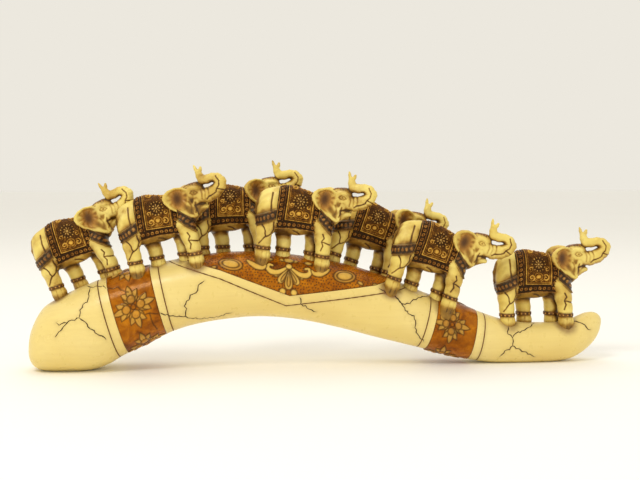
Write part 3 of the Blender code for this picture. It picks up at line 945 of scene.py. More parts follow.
def cloth_ornament(x, s, levels):
    """A beaded rosette, scrolls, a gem under an arc, scales near the ridge, and fine grains."""
    frame_low, rosette_s, spot_s, _ = levels
    u, v = x - FRAME_X, x - ROSETTE_X
    away, angle = polar(v, s - rosette_s)
    beads = bell(away - 4.5, 0.55) * smooth(-0.2, 0.7, np.cos(14.0 * angle))
    spot = np.hypot(v / 1.9, (s - spot_s) / 1.7)
    gem = np.maximum(np.sqrt(np.clip(1.0 - spot**2, 0.0, 1.0)), 0.8 * bell(spot - 1.45, 0.16))
    arc = bell(np.hypot(u, (s - spot_s + 1.0) * 0.9) - 4.2, 0.35) * smooth(0.0, 1.0, s - spot_s + 2.0)
    scales = 0.5 + 0.5 * np.cos(tau * u / 2.9 + 1.6 * np.cos(tau * s / 3.4))
    grains = np.clip(np.cos(tau * x / 1.25) * np.cos(tau * s / 1.25), 0.0, 1.0)
    carved = [petals(v, s - rosette_s, 3.4, 8), beads, gem, 0.7 * arc]
    carved += [0.75 * scales * smooth(3.6, 2.2, s), 0.55 * grains]
    for side in (-1, 1):
        carved.append(spiral(u - side * 4.9, s - 3.6, side, 1.9, 2.7))
        carved.append(spiral(u - side * 4.9, s - (frame_low - 4.3), -side, 1.9, 2.7))
        carved.append(spiral(u - side * 5.7, s - rosette_s - 3.2, -side, 1.5, 1.9))
    return np.maximum.reduce(carved)


def cloth_border(x, s, frame_low, hem_s):
    """Dimpled bosses outside the frame, between cords."""
    off = np.abs(x - BORDER_X)
    row = np.hypot(off - 12.0, np.mod(s, BORDER_PITCH) - BORDER_PITCH / 2)
    hem = np.hypot(np.mod(x - BORDER_X, BORDER_PITCH) - BORDER_PITCH / 2, s - (frame_low + hem_s) / 2)
    away = np.where(s < frame_low + 1.0, row, hem)
    bosses = 0.8 * smooth(1.5, 0.9, away) * (1.0 - 0.8 * bell(away, 0.5))
    cords = np.maximum(bell(off - 14.1, 0.3), bell(s - hem_s + 0.6, 0.3))
    inner_cord = 0.8 * bell(off - 9.9, 0.25) * (s < frame_low + 1.4)
    return np.maximum.reduce([bosses, cords, inner_cord])


def cloth_relief(x, s, levels):
    """The carving on the cloth, 0 to 1, from x and the length s down from the ridge."""
    frame_low, _, _, hem_s = levels
    frame = cloth_frame(x, s, frame_low)
    inside = smooth(7.4, 7.0, np.abs(x - FRAME_X)) * smooth(frame_low - 1.4, frame_low - 1.8, s)
    outside = (1.0 - inside) * cloth_border(x, s, frame_low, hem_s) * (1.0 - frame)
    return np.maximum(frame, inside * cloth_ornament(x, s, levels) + outside)


def cloth_colours(x, s, levels):
    """How amber and how dark the cloth is at each point, each 0 to 1."""
    frame_low, rosette_s, spot_s, _ = levels
    off = np.abs(x - FRAME_X)
    inside = smooth(8.4, 7.4, off) * smooth(frame_low, frame_low - 1.5, s)
    top = smooth(rosette_s - 2.5, rosette_s - 6.5, s) * inside
    gem = smooth(1.6, 1.0, np.hypot((x - ROSETTE_X) / 2.3, (s - spot_s) / 2.0))
    lower = 0.8 * inside * smooth(rosette_s + 2.0, rosette_s + 5.0, s)
    lines = (bell(off - 8.7, 0.5) + bell(s - frame_low, 0.5) * (off < 9.0)) * (s < frame_low + 0.6)
    amber = np.maximum.reduce([0.9 * top, gem, lower, 0.55 * inside, 0.8 * lines])
    dark = 0.55 * smooth(5.2, 3.6, np.hypot(x - ROSETTE_X, (s - rosette_s) * 0.9))
    return amber, dark


def cloth_row(x, end_gap, share, inner_share):
    """One section of the cloth, outside and inside, and its layers; end_gap is to its nearer edge."""
    y, z, reach = cloth_profile(x)
    hem_s = reach[-1]
    levels = [np.interp(-level, -z, reach) for level in CLOTH_LEVELS] + [hem_s]
    s = np.abs(share) * hem_s
    relief = cloth_relief(x, s, levels)
    soft = np.sqrt(np.clip(np.minimum(end_gap, hem_s - s) / CLOTH_RIM, 0.0, 1.0))
    even = np.linspace(0, hem_s, 400)
    slopes = [np.interp(s, even, np.gradient(np.interp(even, reach, path))) for path in (y, z)]
    size = np.hypot(*slopes) + 1e-9
    place = np.stack([np.interp(s, reach, y), np.interp(s, reach, z)])
    normal = np.stack([-slopes[1] / size, slopes[0] / size])
    lumps = np.cos(2.1 * x + 1.7 * np.cos(1.3 * s)) * np.cos(1.9 * s + 1.1 * np.cos(1.7 * x))
    outer = place + normal * (CLOTH_SINK + (CLOTH_BASE + 0.62 * relief + 0.2 * lumps) * soft)
    lining = (place - normal * CLOTH_THICKNESS)[:, len(share) // 2:]
    inner_s = np.abs(inner_share) * hem_s
    inner = [np.interp(inner_s, s[len(share) // 2:], path) for path in lining]
    around_y = np.concatenate([outer[0] * np.sign(share), inner[0] * np.sign(inner_share)])
    around_z = np.concatenate([outer[1], inner[1]])
    points = np.stack([np.full_like(around_y, x), around_y, around_z], 1)
    layers = np.stack([relief * soft, *cloth_colours(x, s, levels)])
    return points, np.pad(layers, ((0, 0), (0, len(inner_share))))


def make_cloth_form():
    """The saddle cloth in an elephant's frame: points, faces and layers, shared by all seven."""
    start, end = CLOTH_BACK[0][0], CLOTH_BACK[-1][0]
    stations = np.linspace(start, end, int((end - start) / CLOTH_STEP))
    share = np.linspace(-1.0, 1.0, 2 * int(CLOTH_REACH / CLOTH_STEP) + 1)
    rows = [cloth_row(x, min(x - start, end - x), share, share[::-6]) for x in stations]
    columns = len(rows[0][0])
    faces = tube_faces(len(rows), columns) + end_faces(len(rows), columns)
    layers = np.concatenate([row[1] for row in rows], 1)
    points = np.concatenate([row[0] for row in rows])
    return points, [face[::-1] for face in faces], dict(zip(("height", "amber", "dark"), layers))


# ---- The tusk ----


def signed_power(value, power):
    """A power that keeps the value's sign."""
    return np.sign(value) * np.abs(value) ** power


class Tusk:
    """The tusk's surface by length along it and by angle from its crest, negative in front."""

    def __init__(self, shift):
        self.shift = shift
        self.rows = np.array(curved([(*low, *high, depth) for low, high, depth in TUSK_SECTIONS], 20))
        centre = (self.rows[:, 0:2] + self.rows[:, 2:4]) / 2
        steps = np.hypot(*np.diff(centre, axis=0).T)
        self.lengths = np.concatenate([[0.0], np.cumsum(steps)])
        self.angles = np.linspace(0.0, pi, 181)

    def section(self, length):
        return np.stack([np.interp(length, self.lengths, column) for column in self.rows.T], -1)

    def points(self, length, angle, lift=0.0):
        """Surface points in millimetres in the figurine's frame, raised by lift."""
        length, angle = np.broadcast_arrays(length, angle)
        low_x, low_z, high_x, high_z, depth = np.moveaxis(self.section(length), -1, 0)
        up_x, up_z = (high_x - low_x) / 2, (high_z - low_z) / 2
        up = signed_power(np.cos(angle), 2 / SECTION_POWER) * (1.0 + lift / np.hypot(up_x, up_z))
        across = signed_power(np.sin(angle), 2 / SECTION_POWER) * (depth + lift)
        x = (low_x + high_x) / 2 + up_x * up + self.shift
        z = (low_z + high_z) / 2 + up_z * up
        return np.stack([x, across, np.maximum(z, 0.0)], -1)

    def place(self, x, z):
        """(length, angle) of the point that shows at (x, z) in front view; the angle is positive."""
        low_x, low_z, high_x, high_z, _ = self.rows.T
        cross = (high_x - low_x) * (z - low_z) - (high_z - low_z) * (x - low_x)
        index = np.nonzero(cross[:-1] * cross[1:] <= 0)[0][0]
        share = cross[index] / (cross[index] - cross[index + 1])
        length = self.lengths[index] + share * (self.lengths[index + 1] - self.lengths[index])
        section = self.section(length)
        up = section[2:4] - section[0:2]
        height = np.clip(2 * np.dot((x - section[0], z - section[1]), up) / np.dot(up, up) - 1, -1.0, 1.0)
        return length, float(np.arccos(signed_power(height, SECTION_POWER / 2)))

    def places(self, route):
        return [self.place(x, z) for x, z in route]

    def between(self, ends):
        """The length half-way between two points given in front view."""
        (x1, z1), (x2, z2) = ends
        return self.place((x1 + x2) / 2, (z1 + z2) / 2)[0]

    def girth(self, length, angle):
        """Distance round the section from the crest to the angle, with the angle's sign."""
        path = self.points(np.full(self.angles.shape, float(length)), self.angles)
        reach = np.concatenate([[0.0], np.cumsum(np.linalg.norm(np.diff(path, axis=0), axis=1))])
        return np.sign(angle) * np.interp(np.abs(angle), self.angles, reach)


def tusk_skin(tusk, coat):
    """The bare tusk, closed at both ends."""
    count = int(tusk.lengths[-1] / RING_STEP)
    lengths = np.linspace(0.0, tusk.lengths[-1], count)
    angles = np.linspace(-pi, pi, RING_SIDES, endpoint=False)
    points = tusk.points(lengths[:, None], angles[None, :]).reshape(-1, 3)
    faces = tube_faces(count, RING_SIDES) + end_faces(count, RING_SIDES)
    return make_piece("tusk_body", points * MM, faces, coat)


def groove_cutter(name, tusk, route, closed, width, depth, coat):
    """A V-shaped cutter along (length, angle) points; its walls' paint stays in the groove."""
    lengths, angles = np.array(route).T
    surface = tusk.points(lengths, angles)
    outward = tusk.points(lengths, angles, 1.0) - surface
    outward /= np.linalg.norm(outward, axis=1)[:, None]
    if closed:
        along = np.roll(surface, -1, 0) - np.roll(surface, 1, 0)
        wave = np.ones(len(route))
    else:
        along = np.gradient(surface, axis=0)
        wave = 1.0 + 0.25 * np.sin(np.arange(len(route)) * 1.7)
    side = np.cross(along, outward)
    side /= np.linalg.norm(side, axis=1)[:, None]
    widths, depths = width / 2 * wave, depth * wave
    if not closed:
        widths[0] = widths[-1] = width * 0.15
        depths[0] = depths[-1] = depth * 0.3
    spread = (widths * (1.0 + CUTTER_LIFT / depths))[:, None]
    rings = np.stack([surface + side * spread + outward * CUTTER_LIFT,
                      surface - side * spread + outward * CUTTER_LIFT,
                      surface - outward * depths[:, None]], 1)
    faces = tube_faces(len(route), 3, closed) + ([] if closed else end_faces(len(route), 3))
    return make_piece(name, rings.reshape(-1, 3) * MM, faces, coat)


def read_points(mesh):
    """A mesh's points, one row each."""
    points = np.empty(len(mesh.vertices) * 3, np.float32)
    mesh.vertices.foreach_get("co", points)
    return points.reshape(-1, 3)


def turn_outward(piece):
    """Turns a closed piece's faces outward."""
    mesh = piece.data
    mesh.calc_loop_triangles()
    corners = np.empty(len(mesh.loop_triangles) * 3, np.int32)
    mesh.loop_triangles.foreach_get("vertices", corners)
    a, b, c = np.moveaxis(read_points(mesh)[corners.reshape(-1, 3)].astype(float), 1, 0)
    if np.einsum("ij,ij->", a, np.cross(b, c)) < 0:
        mesh.flip_normals()
    return piece


def engrave(target, cutters):
    """Cuts all the grooves into a piece and keeps the cutters' paint on the cut faces."""
    for cutter in cutters:
        turn_outward(cutter)
        modifier = target.modifiers.new(cutter.name, "BOOLEAN")
        modifier.operation = "DIFFERENCE"
        modifier.solver = "MANIFOLD"
        modifier.material_mode = "TRANSFER"
        modifier.object = cutter
    graph = bpy.context.evaluated_depsgraph_get()
    cut = bpy.data.meshes.new_from_object(target.evaluated_get(graph))
    target.modifiers.clear()
    target.data = cut
    for cutter in cutters:
        bpy.data.objects.remove(cutter)
    cut.set_sharp_from_angle(angle=radians(SHARP_ANGLE))


def ring_route(tusk, ends):
    """A ring round the tusk through two points given in front view."""
    length = tusk.between(ends)
    return [(length, angle) for angle in np.linspace(-pi, pi, 120, endpoint=False)]


def side_route(tusk, route, side):
    """A front-view route laid on the front, side -1, or mirrored onto the back, side 1."""
    return [(length, side * angle) for length, angle in tusk.places(route)]


def close_points(route, step=1.5):
    """A route with more points along its straight parts."""
    fine = []
    for (x1, z1), (x2, z2) in zip(route, route[1:]):
        count = max(2, int(np.hypot(x2 - x1, z2 - z1) / step))
        fine += [(x1 + (x2 - x1) * t, z1 + (z2 - z1) * t) for t in np.arange(count) / count]
    return fine + [route[-1]]


def tusk_grooves(tusk, line_paint, crack_paint):
    """Cutters for the engraved lines and the cracks, and points along each for the stain."""
    line = (LINE_WIDTH, LINE_DEPTH, line_paint)
    crack = (CRACK_WIDTH, CRACK_DEPTH, crack_paint)
    grooves = [(ring_route(tusk, ends), True, *line) for ends in ROOT_LINES + TIP_LINES]
    for side in (-1, 1):
        grooves.append((side_route(tusk, close_points(PANEL_LINE), side), False, *line))
    for side, cracks in ((-1, FRONT_CRACKS), (1, BACK_CRACKS)):
        for route in cracks:
            kinked = jagged(route, *TUSK_KINKS, len(grooves))
            grooves.append((side_route(tusk, kinked, side), False, *crack))
    cutters = [groove_cutter(f"groove_{index}", tusk, *groove) for index, groove in enumerate(grooves)]
    marks = np.concatenate([tusk.points(*np.array(route).T) for route, *_ in grooves])
    return cutters, marks


def nearest(points, marks):
    """Distance from each point to its nearest mark."""
    best = np.full(len(points), 1e3)
    for start in range(0, len(marks), 64):
        part = marks[start:start + 64]
        away = np.linalg.norm(points[:, None, :] - part[None, :, :], axis=2).min(1)
        best = np.minimum(best, away)
    return best


def stain_and_shade_tusk(piece, marks, feet):
    """Brown stain beside the grooves, and brown stain with painted contact shade round the elephants' feet.
    """
    mesh = piece.data
    points = read_points(mesh) / MM
    stain_and_shade = GROOVE_STAIN * np.exp(-nearest(points, marks) / GROOVE_STAIN_REACH)
    # painted contact shade, with some stain, round the elephants' feet
    stain_and_shade += FOOT_SHADE_AND_STAIN * smooth(*FOOT_SHADE_AND_STAIN_REACH, nearest(points, feet))
    held = mesh.attributes.new("stain_and_shade", "FLOAT", "POINT")
    held.data.foreach_set("value", np.clip(stain_and_shade, 0.0, 1.0).astype(np.float32))


# ---- The glazed ornament ----


class Relief:
    """Raised ornament on a skin: height, ivory tint and dark outline, each 0 to 1."""

    def __init__(self, p, q):
        self.p, self.q = p, q
        self.height = np.zeros(p.shape)
        self.pale = np.zeros(p.shape)
        self.away = np.full(p.shape, NOWHERE)

    def stamp(self, centre, angle, length, width, top, pale=0.6, kind="leaf"):
        """One leaf, drop or bead; the centre is the leaf's root, or the bead's middle."""
        dp, dq = self.p - centre[0], self.q - centre[1]
        along = (dp * cos(angle) + dq * sin(angle)) / length
        across = -dp * sin(angle) + dq * cos(angle)
        if kind == "bead":
            whole = np.hypot(along * 2.0, across / (width / 2))
            edge = (whole - 1.0) * width / 2
            rise = np.sqrt(np.clip(1.0 - whole**2, 0.0, 1.0))
        else:
            t = np.clip(along, 0.0, 1.0)
            bulge = t**0.75 * (1.0 - t) if kind == "leaf" else t**1.6 * np.sqrt(1.0 - t)
            half = np.maximum(width / 2 * bulge / BULGE_PEAK, 0.02)
            beyond = np.maximum(-along, along - 1.0) * length
            edge = np.maximum(np.abs(across) - half, beyond)
            ratio = np.clip(np.abs(across) / half, 0.0, 1.0)
            rise = np.sqrt(1.0 - ratio**2) * (beyond <= 0)
            rise *= 1.0 - 0.45 * bell(across, 0.28) * smooth(0.0, 0.2, t) * (kind == "leaf")
        self.lay(edge, rise, top, pale)

    def lay(self, edge, rise, top, pale):
        """Lays one shape over all that was there before."""
        inside = edge < 0
        self.height = np.where(inside, top * rise, self.height)
        self.pale = np.where(inside, pale * (0.45 + 0.55 * rise), self.pale)
        self.away = np.where(inside, -edge, np.minimum(self.away, edge))

    def path(self, route, widths, top, pale):
        """A scroll along a route, whose half width changes from its start to its end."""
        route = curved(route)
        edge = np.full(self.p.shape, NOWHERE)
        rise = np.zeros(self.p.shape)
        for index, (start, end) in enumerate(zip(route, route[1:])):
            t, away = segment(start, end, self.p, self.q)
            share = (index + t) / (len(route) - 1)
            half = np.interp(share, np.linspace(0.0, 1.0, len(widths)), widths)
            edge = np.minimum(edge, away - half)
            rise = np.maximum(rise, np.sqrt(np.clip(1.0 - (away / half) ** 2, 0.0, 1.0)))
        self.lay(edge, rise, top, pale)

    def outline(self):
        return bell(self.away, 0.44)


def flower(relief, size, turn):
    """A cross of four leaf sprays round four berries, with small leaves between them."""
    spokes = [turn + quarter * pi / 2 for quarter in range(4)]

    def spot(away, angle):
        return away * size * cos(angle), away * size * sin(angle)

    for spoke in spokes:
        for offset in (-0.30, 0.30):
            angle = spoke + pi / 4 + offset
            relief.stamp(spot(LEAF_AWAY, angle), angle, 6.8 * size, 4.0 * size, 0.8, 0.42)
    for spoke in spokes:
        for spread, length in SPRAY:
            relief.stamp(spot(BERRY_AWAY, spoke), spoke + spread, length * size, 4.8 * size, 1.05, 0.5)
    for spoke in spokes:
        relief.stamp(spot(BERRY_AWAY, spoke), spoke, *[BERRY_SIZE * size] * 2, 1.6, 0.30, "bead")
    relief.stamp((0.0, 0.0), turn, *[CENTRE_SIZE * size] * 2, 1.1, 0.0, "bead")


def lattice_dots(p, q, pitch, radius, seed):
    """Small scattered dimples, 0 to 1."""
    chance = np.random.default_rng(seed)
    shift = chance.uniform(-0.28, 0.28, (64, 64, 2))
    column, row = np.floor(p / pitch).astype(int), np.floor(q / pitch).astype(int)
    best = np.full(p.shape, NOWHERE)
    for dc in (-1, 0, 1):
        for dr in (-1, 0, 1):
            c, r = column + dc, row + dr
            move = shift[c % 64, r % 64]
            cp = (c + 0.5 + 0.5 * (r % 2 - 0.5) + move[..., 0]) * pitch
            cq = (r + 0.5 + move[..., 1]) * pitch
            best = np.minimum(best, np.hypot(p - cp, q - cq))
    return smooth(radius * 1.25, radius * 0.55, best)


def girth_grid(tusk, lengths, angles):
    """Distance round the section from the crest for each (length, angle) of a grid."""
    return np.stack([tusk.girth(length, row) for length, row in zip(lengths, angles)])


def glazed_piece(name, grid, faces, coat, pad, layers):
    """A glazed skin; pad adds blanks to the layers for the points of its roots."""
    held = {key: np.clip(np.pad(values, pad), 0.0, 1.0).ravel() for key, values in layers.items()}
    return turn_outward(make_piece(name, grid.reshape(-1, 3) * MM, faces, coat, held))


def flower_band(name, tusk, ends, flower_at, flowers, size, cracks, coat):
    """One glazed ring with flower clusters evenly round it."""
    start, end = [tusk.between(pair) for pair in ends]
    centre_length, centre_angle = tusk.place(*flower_at)
    around = 2 * tusk.girth(centre_length, pi)
    rows, columns = int((end - start) / GLAZE_STEP), int(around / GLAZE_STEP)
    lengths = np.linspace(start, end, rows)
    angles = np.linspace(-pi, pi, columns, endpoint=False)
    round_way = girth_grid(tusk, lengths, np.tile(angles, (rows, 1)))
    along = np.tile((lengths - centre_length)[:, None], (1, columns))
    relief = Relief(along, round_way)
    full = np.array([2 * tusk.girth(length, pi) for length in lengths])[:, None]
    first = -tusk.girth(centre_length, centre_angle) / around
    for index in range(flowers):
        where = (first + index / flowers + 0.5) % 1.0 - 0.5
        for wrap in (-1, 0, 1):
            relief.q = round_way - (where + wrap) * full
            if np.abs(relief.q).min() < 14.0 * size:
                flower(relief, size, FLOWER_TURN)
    crack = np.full(along.shape, NOWHERE)
    for seed, route in enumerate(cracks):
        points = tusk.places(jagged(route, *GLAZE_KINKS, seed + GLAZE_SEED))
        flat = [(length - centre_length, -tusk.girth(length, angle)) for length, angle in points]
        crack = np.minimum(crack, route_distance(flat, along, round_way))
    edge = np.minimum(lengths - start, end - lengths)[:, None]
    rim = np.sqrt(np.clip(edge / GLAZE_RIM, 0.0, 1.0))
    lift = GLAZE_LIFT * rim + 0.62 * relief.height * rim - 0.15 * bell(crack, 0.4)
    low_rim, high_rim = [tusk.points(length, angles, GLAZE_ROOT)[None] for length in (start, end)]
    grid = np.concatenate([low_rim, tusk.points(lengths[:, None], angles[None, :], lift), high_rim])
    line = np.maximum(np.maximum(relief.outline(), bell(crack, 0.45)), 0.8 * bell(edge, 0.6))
    layers = {"height": relief.height, "pale": relief.pale, "line": line, "dots": np.zeros(line.shape)}
    faces = tube_faces(rows + 2, columns, True)
    return glazed_piece(name, grid, faces, coat, ((1, 1), (0, 0)), layers)


def panel_ornament(relief, bead):
    """Palmette, scrolls, cabochons and beads round the panel's middle bead."""

    def near(dp, dq):
        return bead[0] + dp, bead[1] + dq

    for angle, length, width in PALMETTE:
        relief.stamp(near(0.0, 0.6), pi / 2 + angle, length, width, 0.8, 0.75, "drop")
        relief.stamp(near(0.0, 2.0), pi / 2 + angle, length * 0.78, width * 0.42, 1.05, 0.5, "drop")
    for side in (-1, 1):
        for route, widths, pale in PANEL_SCROLLS:
            relief.path([near(side * dp, dq) for dp, dq in route], widths, 1.0, pale)
        for dp, dq, tilt, *sizes in PANEL_BEADS:
            relief.stamp(near(side * dp, dq), side * tilt, *sizes, "bead")
        relief.stamp(near(side * 2.6, -4.8), side * -0.25 + (0 if side > 0 else pi), 3.6, 3.2, 0.8, 0.75)
    relief.stamp(near(0.0, -5.4), 0.0, 6.6, 4.2, 1.0, 0.75, "bead")
    relief.stamp(bead, 0.0, 4.4, 4.2, 1.5, 1.0, "bead")


def saddle_panel(tusk, coat):
    """The glazed panel over the crest, pointed down on both sides."""
    edge_lengths, edge_angles = np.array(tusk.places(close_points(PANEL_EDGE, 1.0))).T
    order = np.argsort(edge_lengths)
    start, end = edge_lengths.min() + 0.5, edge_lengths.max() - 0.5
    rows = int((end - start) / GLAZE_STEP)
    lengths = np.linspace(start, end, rows)
    reach = np.maximum(np.interp(lengths, edge_lengths[order], edge_angles[order]), 0.03)
    widest = 2 * max(tusk.girth(length, angle) for length, angle in zip(lengths, reach))
    columns = int(widest / GLAZE_STEP) | 1
    angles = np.linspace(-1.0, 1.0, columns)[None, :] * reach[:, None]
    round_way = girth_grid(tusk, lengths, angles)
    along = np.tile(lengths[:, None], (1, columns))
    relief = Relief(along, np.abs(round_way))
    bead_length, bead_angle = tusk.place(*PANEL_BEAD)
    panel_ornament(relief, (bead_length, float(tusk.girth(bead_length, bead_angle))))
    slope = np.gradient(reach * PANEL_RADIUS, lengths)[:, None]
    inset = (reach[:, None] - np.abs(angles)) * PANEL_RADIUS / np.sqrt(1.0 + slope**2)
    inset = np.minimum(inset, np.minimum(lengths - start, end - lengths)[:, None])
    rim = np.sqrt(np.clip(inset / GLAZE_RIM, 0.0, 1.0))
    dots = lattice_dots(along, round_way + DOTS_START, *DOTS) * (relief.height < 0.02) * rim
    lift = GLAZE_LIFT * rim + 0.6 * relief.height * rim - 0.16 * dots
    outer = tusk.points(lengths[:, None], angles, lift)
    roots = tusk.points(lengths[:, None], angles[:, [-1, 0]], GLAZE_ROOT)
    faces = tube_faces(rows, columns + 2) + [face[::-1] for face in end_faces(rows, columns + 2)]
    line = np.maximum(relief.outline(), 0.85 * bell(inset, 0.6))
    layers = {"height": relief.height, "pale": relief.pale, "line": line, "dots": dots}
    grid = np.concatenate([outer, roots], 1)
    return glazed_piece("saddle_panel", grid, faces, coat, ((0, 0), (0, 2)), layers)


# ---- Materials ----


class Coat:
    """A material's node tree, built up node by node."""

    def __init__(self, name):
        self.material = bpy.data.materials.new(name)
        self.material.use_nodes = True
        self.tree = self.material.node_tree
        self.shader = self.tree.nodes["Principled BSDF"]
        self.where = self.tree.nodes.new("ShaderNodeTexCoord").outputs["Object"]

    def feed(self, socket, value):
        """Sets a socket to a number or a colour, or wires it to another node's output."""
        if isinstance(value, bpy.types.NodeSocket):
            self.tree.links.new(value, socket)
        elif socket.type == "RGBA":
            socket.default_value = (*value, 1.0)
        else:
            socket.default_value = value

    def node(self, kind, values, **settings):
        """A new node with its settings made and its sockets fed, each by name or number."""
        node = self.tree.nodes.new("ShaderNode" + kind)
        for name, value in settings.items():
            setattr(node, name, value)
        for key, value in values.items():
            self.feed(node.inputs[key], value)
        return node

    def dress(self, values):
        """Feeds the material's own shader."""
        for name, value in values.items():
            self.feed(self.shader.inputs[name], value)

    def stretched(self, scale):
        return self.node("Mapping", {"Scale": scale, "Vector": self.where}).outputs["Vector"]

    def noise(self, scale, detail=4.0, roughness=0.55, vector=None, distortion=0.0):
        values = {"Scale": scale, "Detail": detail, "Roughness": roughness, "Distortion": distortion}
        return self.node("TexNoise", {**values, "Vector": vector or self.where}).outputs["Fac"]

    def layer(self, name):
        return self.node("Attribute", {}, attribute_name=name).outputs["Fac"]

    def ramp(self, source, stops):
        """Colours by position, each (position, (r, g, b))."""
        node = self.node("ValToRGB", {"Fac": source})
        elements = node.color_ramp.elements
        while len(elements) < len(stops):
            elements.new(0.5)
        for element, (position, colour) in zip(elements, stops):
            element.position = position
            element.color = (*colour, 1.0)
        return node.outputs["Color"]

    def span(self, source, low, high, start=0.0, end=1.0):
        """Maps start..end of a value to low..high."""
        values = {"From Min": start, "From Max": end, "To Min": low, "To Max": high}
        return self.node("MapRange", {**values, "Value": source}).outputs["Result"]

    def varied(self, scale, low, high, detail=4.0, roughness=0.55):
        """Noise whose usual spread covers low to high."""
        return self.span(self.noise(scale, detail, roughness), low, high, *NOISE_SPREAD)

    def math(self, kind, first, second):
        return self.node("Math", {0: first, 1: second}, operation=kind).outputs["Value"]

    def blend(self, share, first, second):
        return self.node("Mix", {0: share, 6: first, 7: second}, data_type="RGBA").outputs[2]

    def bump(self, source, strength, distance):
        node = self.node("Bump", {"Strength": strength, "Distance": distance, "Height": source})
        self.dress({"Normal": node.outputs["Normal"]})


# How much of a noise's range its values really use.
NOISE_SPREAD = (0.3, 0.7)

# Colours are linear (r, g, b); ramps are (position, colour).
IVORY_TONES = ((0.25, (0.78, 0.57, 0.17)), (0.5, (0.84, 0.65, 0.21)), (0.75, (0.88, 0.71, 0.27)))
GRAIN = (0.66, 0.46, 0.15)
# the brown of the stain and of the painted contact shade round the feet
STAIN_AND_SHADE_BROWN = (0.20, 0.085, 0.02)
LINE_PAINT = ((0.3, (0.15, 0.058, 0.010)), (0.7, (0.27, 0.125, 0.030)))
CRACK_PAINT = ((0.3, (0.030, 0.012, 0.005)), (0.7, (0.10, 0.042, 0.014)))
GLAZE_TONES = ((0.30, (0.085, 0.016, 0.001)), (0.46, (0.30, 0.080, 0.001)), (0.70, (0.58, 0.20, 0.004)))
GLAZE_DEEP, GLAZE_PALE = (0.68, 0.38, 0.05), (0.85, 0.62, 0.15)  # over the raised ornament
GLAZE_DOTS = (0.07, 0.022, 0.006)
GLAZE_OUTLINE = (0.030, 0.009, 0.003)
GLAZE_SHINE = {
    "Specular IOR Level": 0.4,
    "Specular Tint": (1.0, 0.55, 0.15),
    "Coat Weight": 0.1,
    "Coat Roughness": 0.12,
}
SKIN_TONES = ((0.28, (0.66, 0.45, 0.09)), (0.5, (0.79, 0.61, 0.15)), (0.74, (0.88, 0.73, 0.23)))
# the colours of the brown wash together with the painted shade on the castings
WASH_AND_SHADE_AMBER, WASH_AND_SHADE_BROWN = (0.44, 0.23, 0.030), (0.070, 0.026, 0.004)
HOLLOW_AMBER, HOLLOW_BROWN = (0.46, 0.21, 0.035), (0.085, 0.025, 0.005)
CLOTH_TONES = (
    (0.06, (0.012, 0.003, 0.001)), (0.34, (0.070, 0.021, 0.003)),
    (0.66, (0.23, 0.085, 0.011)), (0.95, (0.54, 0.29, 0.060)),
)
CLOTH_GOLD = ((0.05, (0.060, 0.017, 0.001)), (0.4, (0.30, 0.110, 0.005)), (0.9, (0.72, 0.42, 0.065)))
CLOTH_BLACK = ((0.25, (0.014, 0.005, 0.002)), (0.6, (0.085, 0.034, 0.009)), (0.95, (0.46, 0.31, 0.12)))
STEEL_TONES = ((0.3, (0.42, 0.42, 0.43)), (0.7, (0.60, 0.60, 0.62)))
PAPER_TONES = ((0.3, (0.980, 0.975, 0.950)), (0.7, (0.990, 0.985, 0.960)))


def ivory_coat():
    """Cream resin with cloudy tones, a faint lengthwise grain, brown stain, and painted contact shade round
    the elephants' feet.
    """
    coat = Coat("ivory_resin")
    clouds = coat.ramp(coat.noise(16.0, 3.0, 0.5), IVORY_TONES)
    grain = coat.noise(1.0, 5.0, 0.6, coat.stretched((22.0, 420.0, 420.0)), 0.6)
    toned = coat.blend(coat.span(grain, 0.0, 0.2, 0.35, 0.75), clouds, GRAIN)
    # stain beside the grooves and painted contact shade round the feet
    share = coat.math("MULTIPLY", coat.layer("stain_and_shade"), coat.varied(160.0, 0.65, 1.2, 4.0, 0.6))
    coat.dress({"Base Color": coat.blend(share, toned, STAIN_AND_SHADE_BROWN),
                "Roughness": coat.varied(210.0, 0.24, 0.42, 3.0)})
    coat.bump(coat.noise(520.0, 4.0, 0.6), 0.12, 0.0003)
    return coat.material


def groove_coat(name, tones):
    """Brown paint that sits in the grooves and cracks."""
    coat = Coat(name)
    coat.dress({"Base Color": coat.ramp(coat.noise(240.0), tones),
                "Roughness": coat.span(coat.noise(300.0), 0.45, 0.7)})
    coat.bump(coat.noise(900.0), 0.2, 0.0002)
    return coat.material


def glaze_coat():
    """Amber glaze, mottled, thin and pale over the raised ornament, dark in its outlines."""
    coat = Coat("amber_glaze")
    ground = coat.ramp(coat.noise(95.0, 5.0, 0.62, distortion=0.4), GLAZE_TONES)
    tint = coat.blend(coat.noise(300.0, 3.0), GLAZE_DEEP, GLAZE_PALE)
    raised = coat.blend(coat.layer("pale"), ground, tint)
    dotted = coat.blend(coat.layer("dots"), raised, GLAZE_DOTS)
    worn = coat.math("MULTIPLY", coat.layer("line"), coat.span(coat.noise(400.0), 0.72, 1.05))
    coat.dress({"Base Color": coat.blend(worn, dotted, GLAZE_OUTLINE),
                "Roughness": coat.varied(150.0, 0.18, 0.36), **GLAZE_SHINE})
    coat.bump(coat.noise(420.0, 4.0), 0.25, 0.0003)
    return coat.material


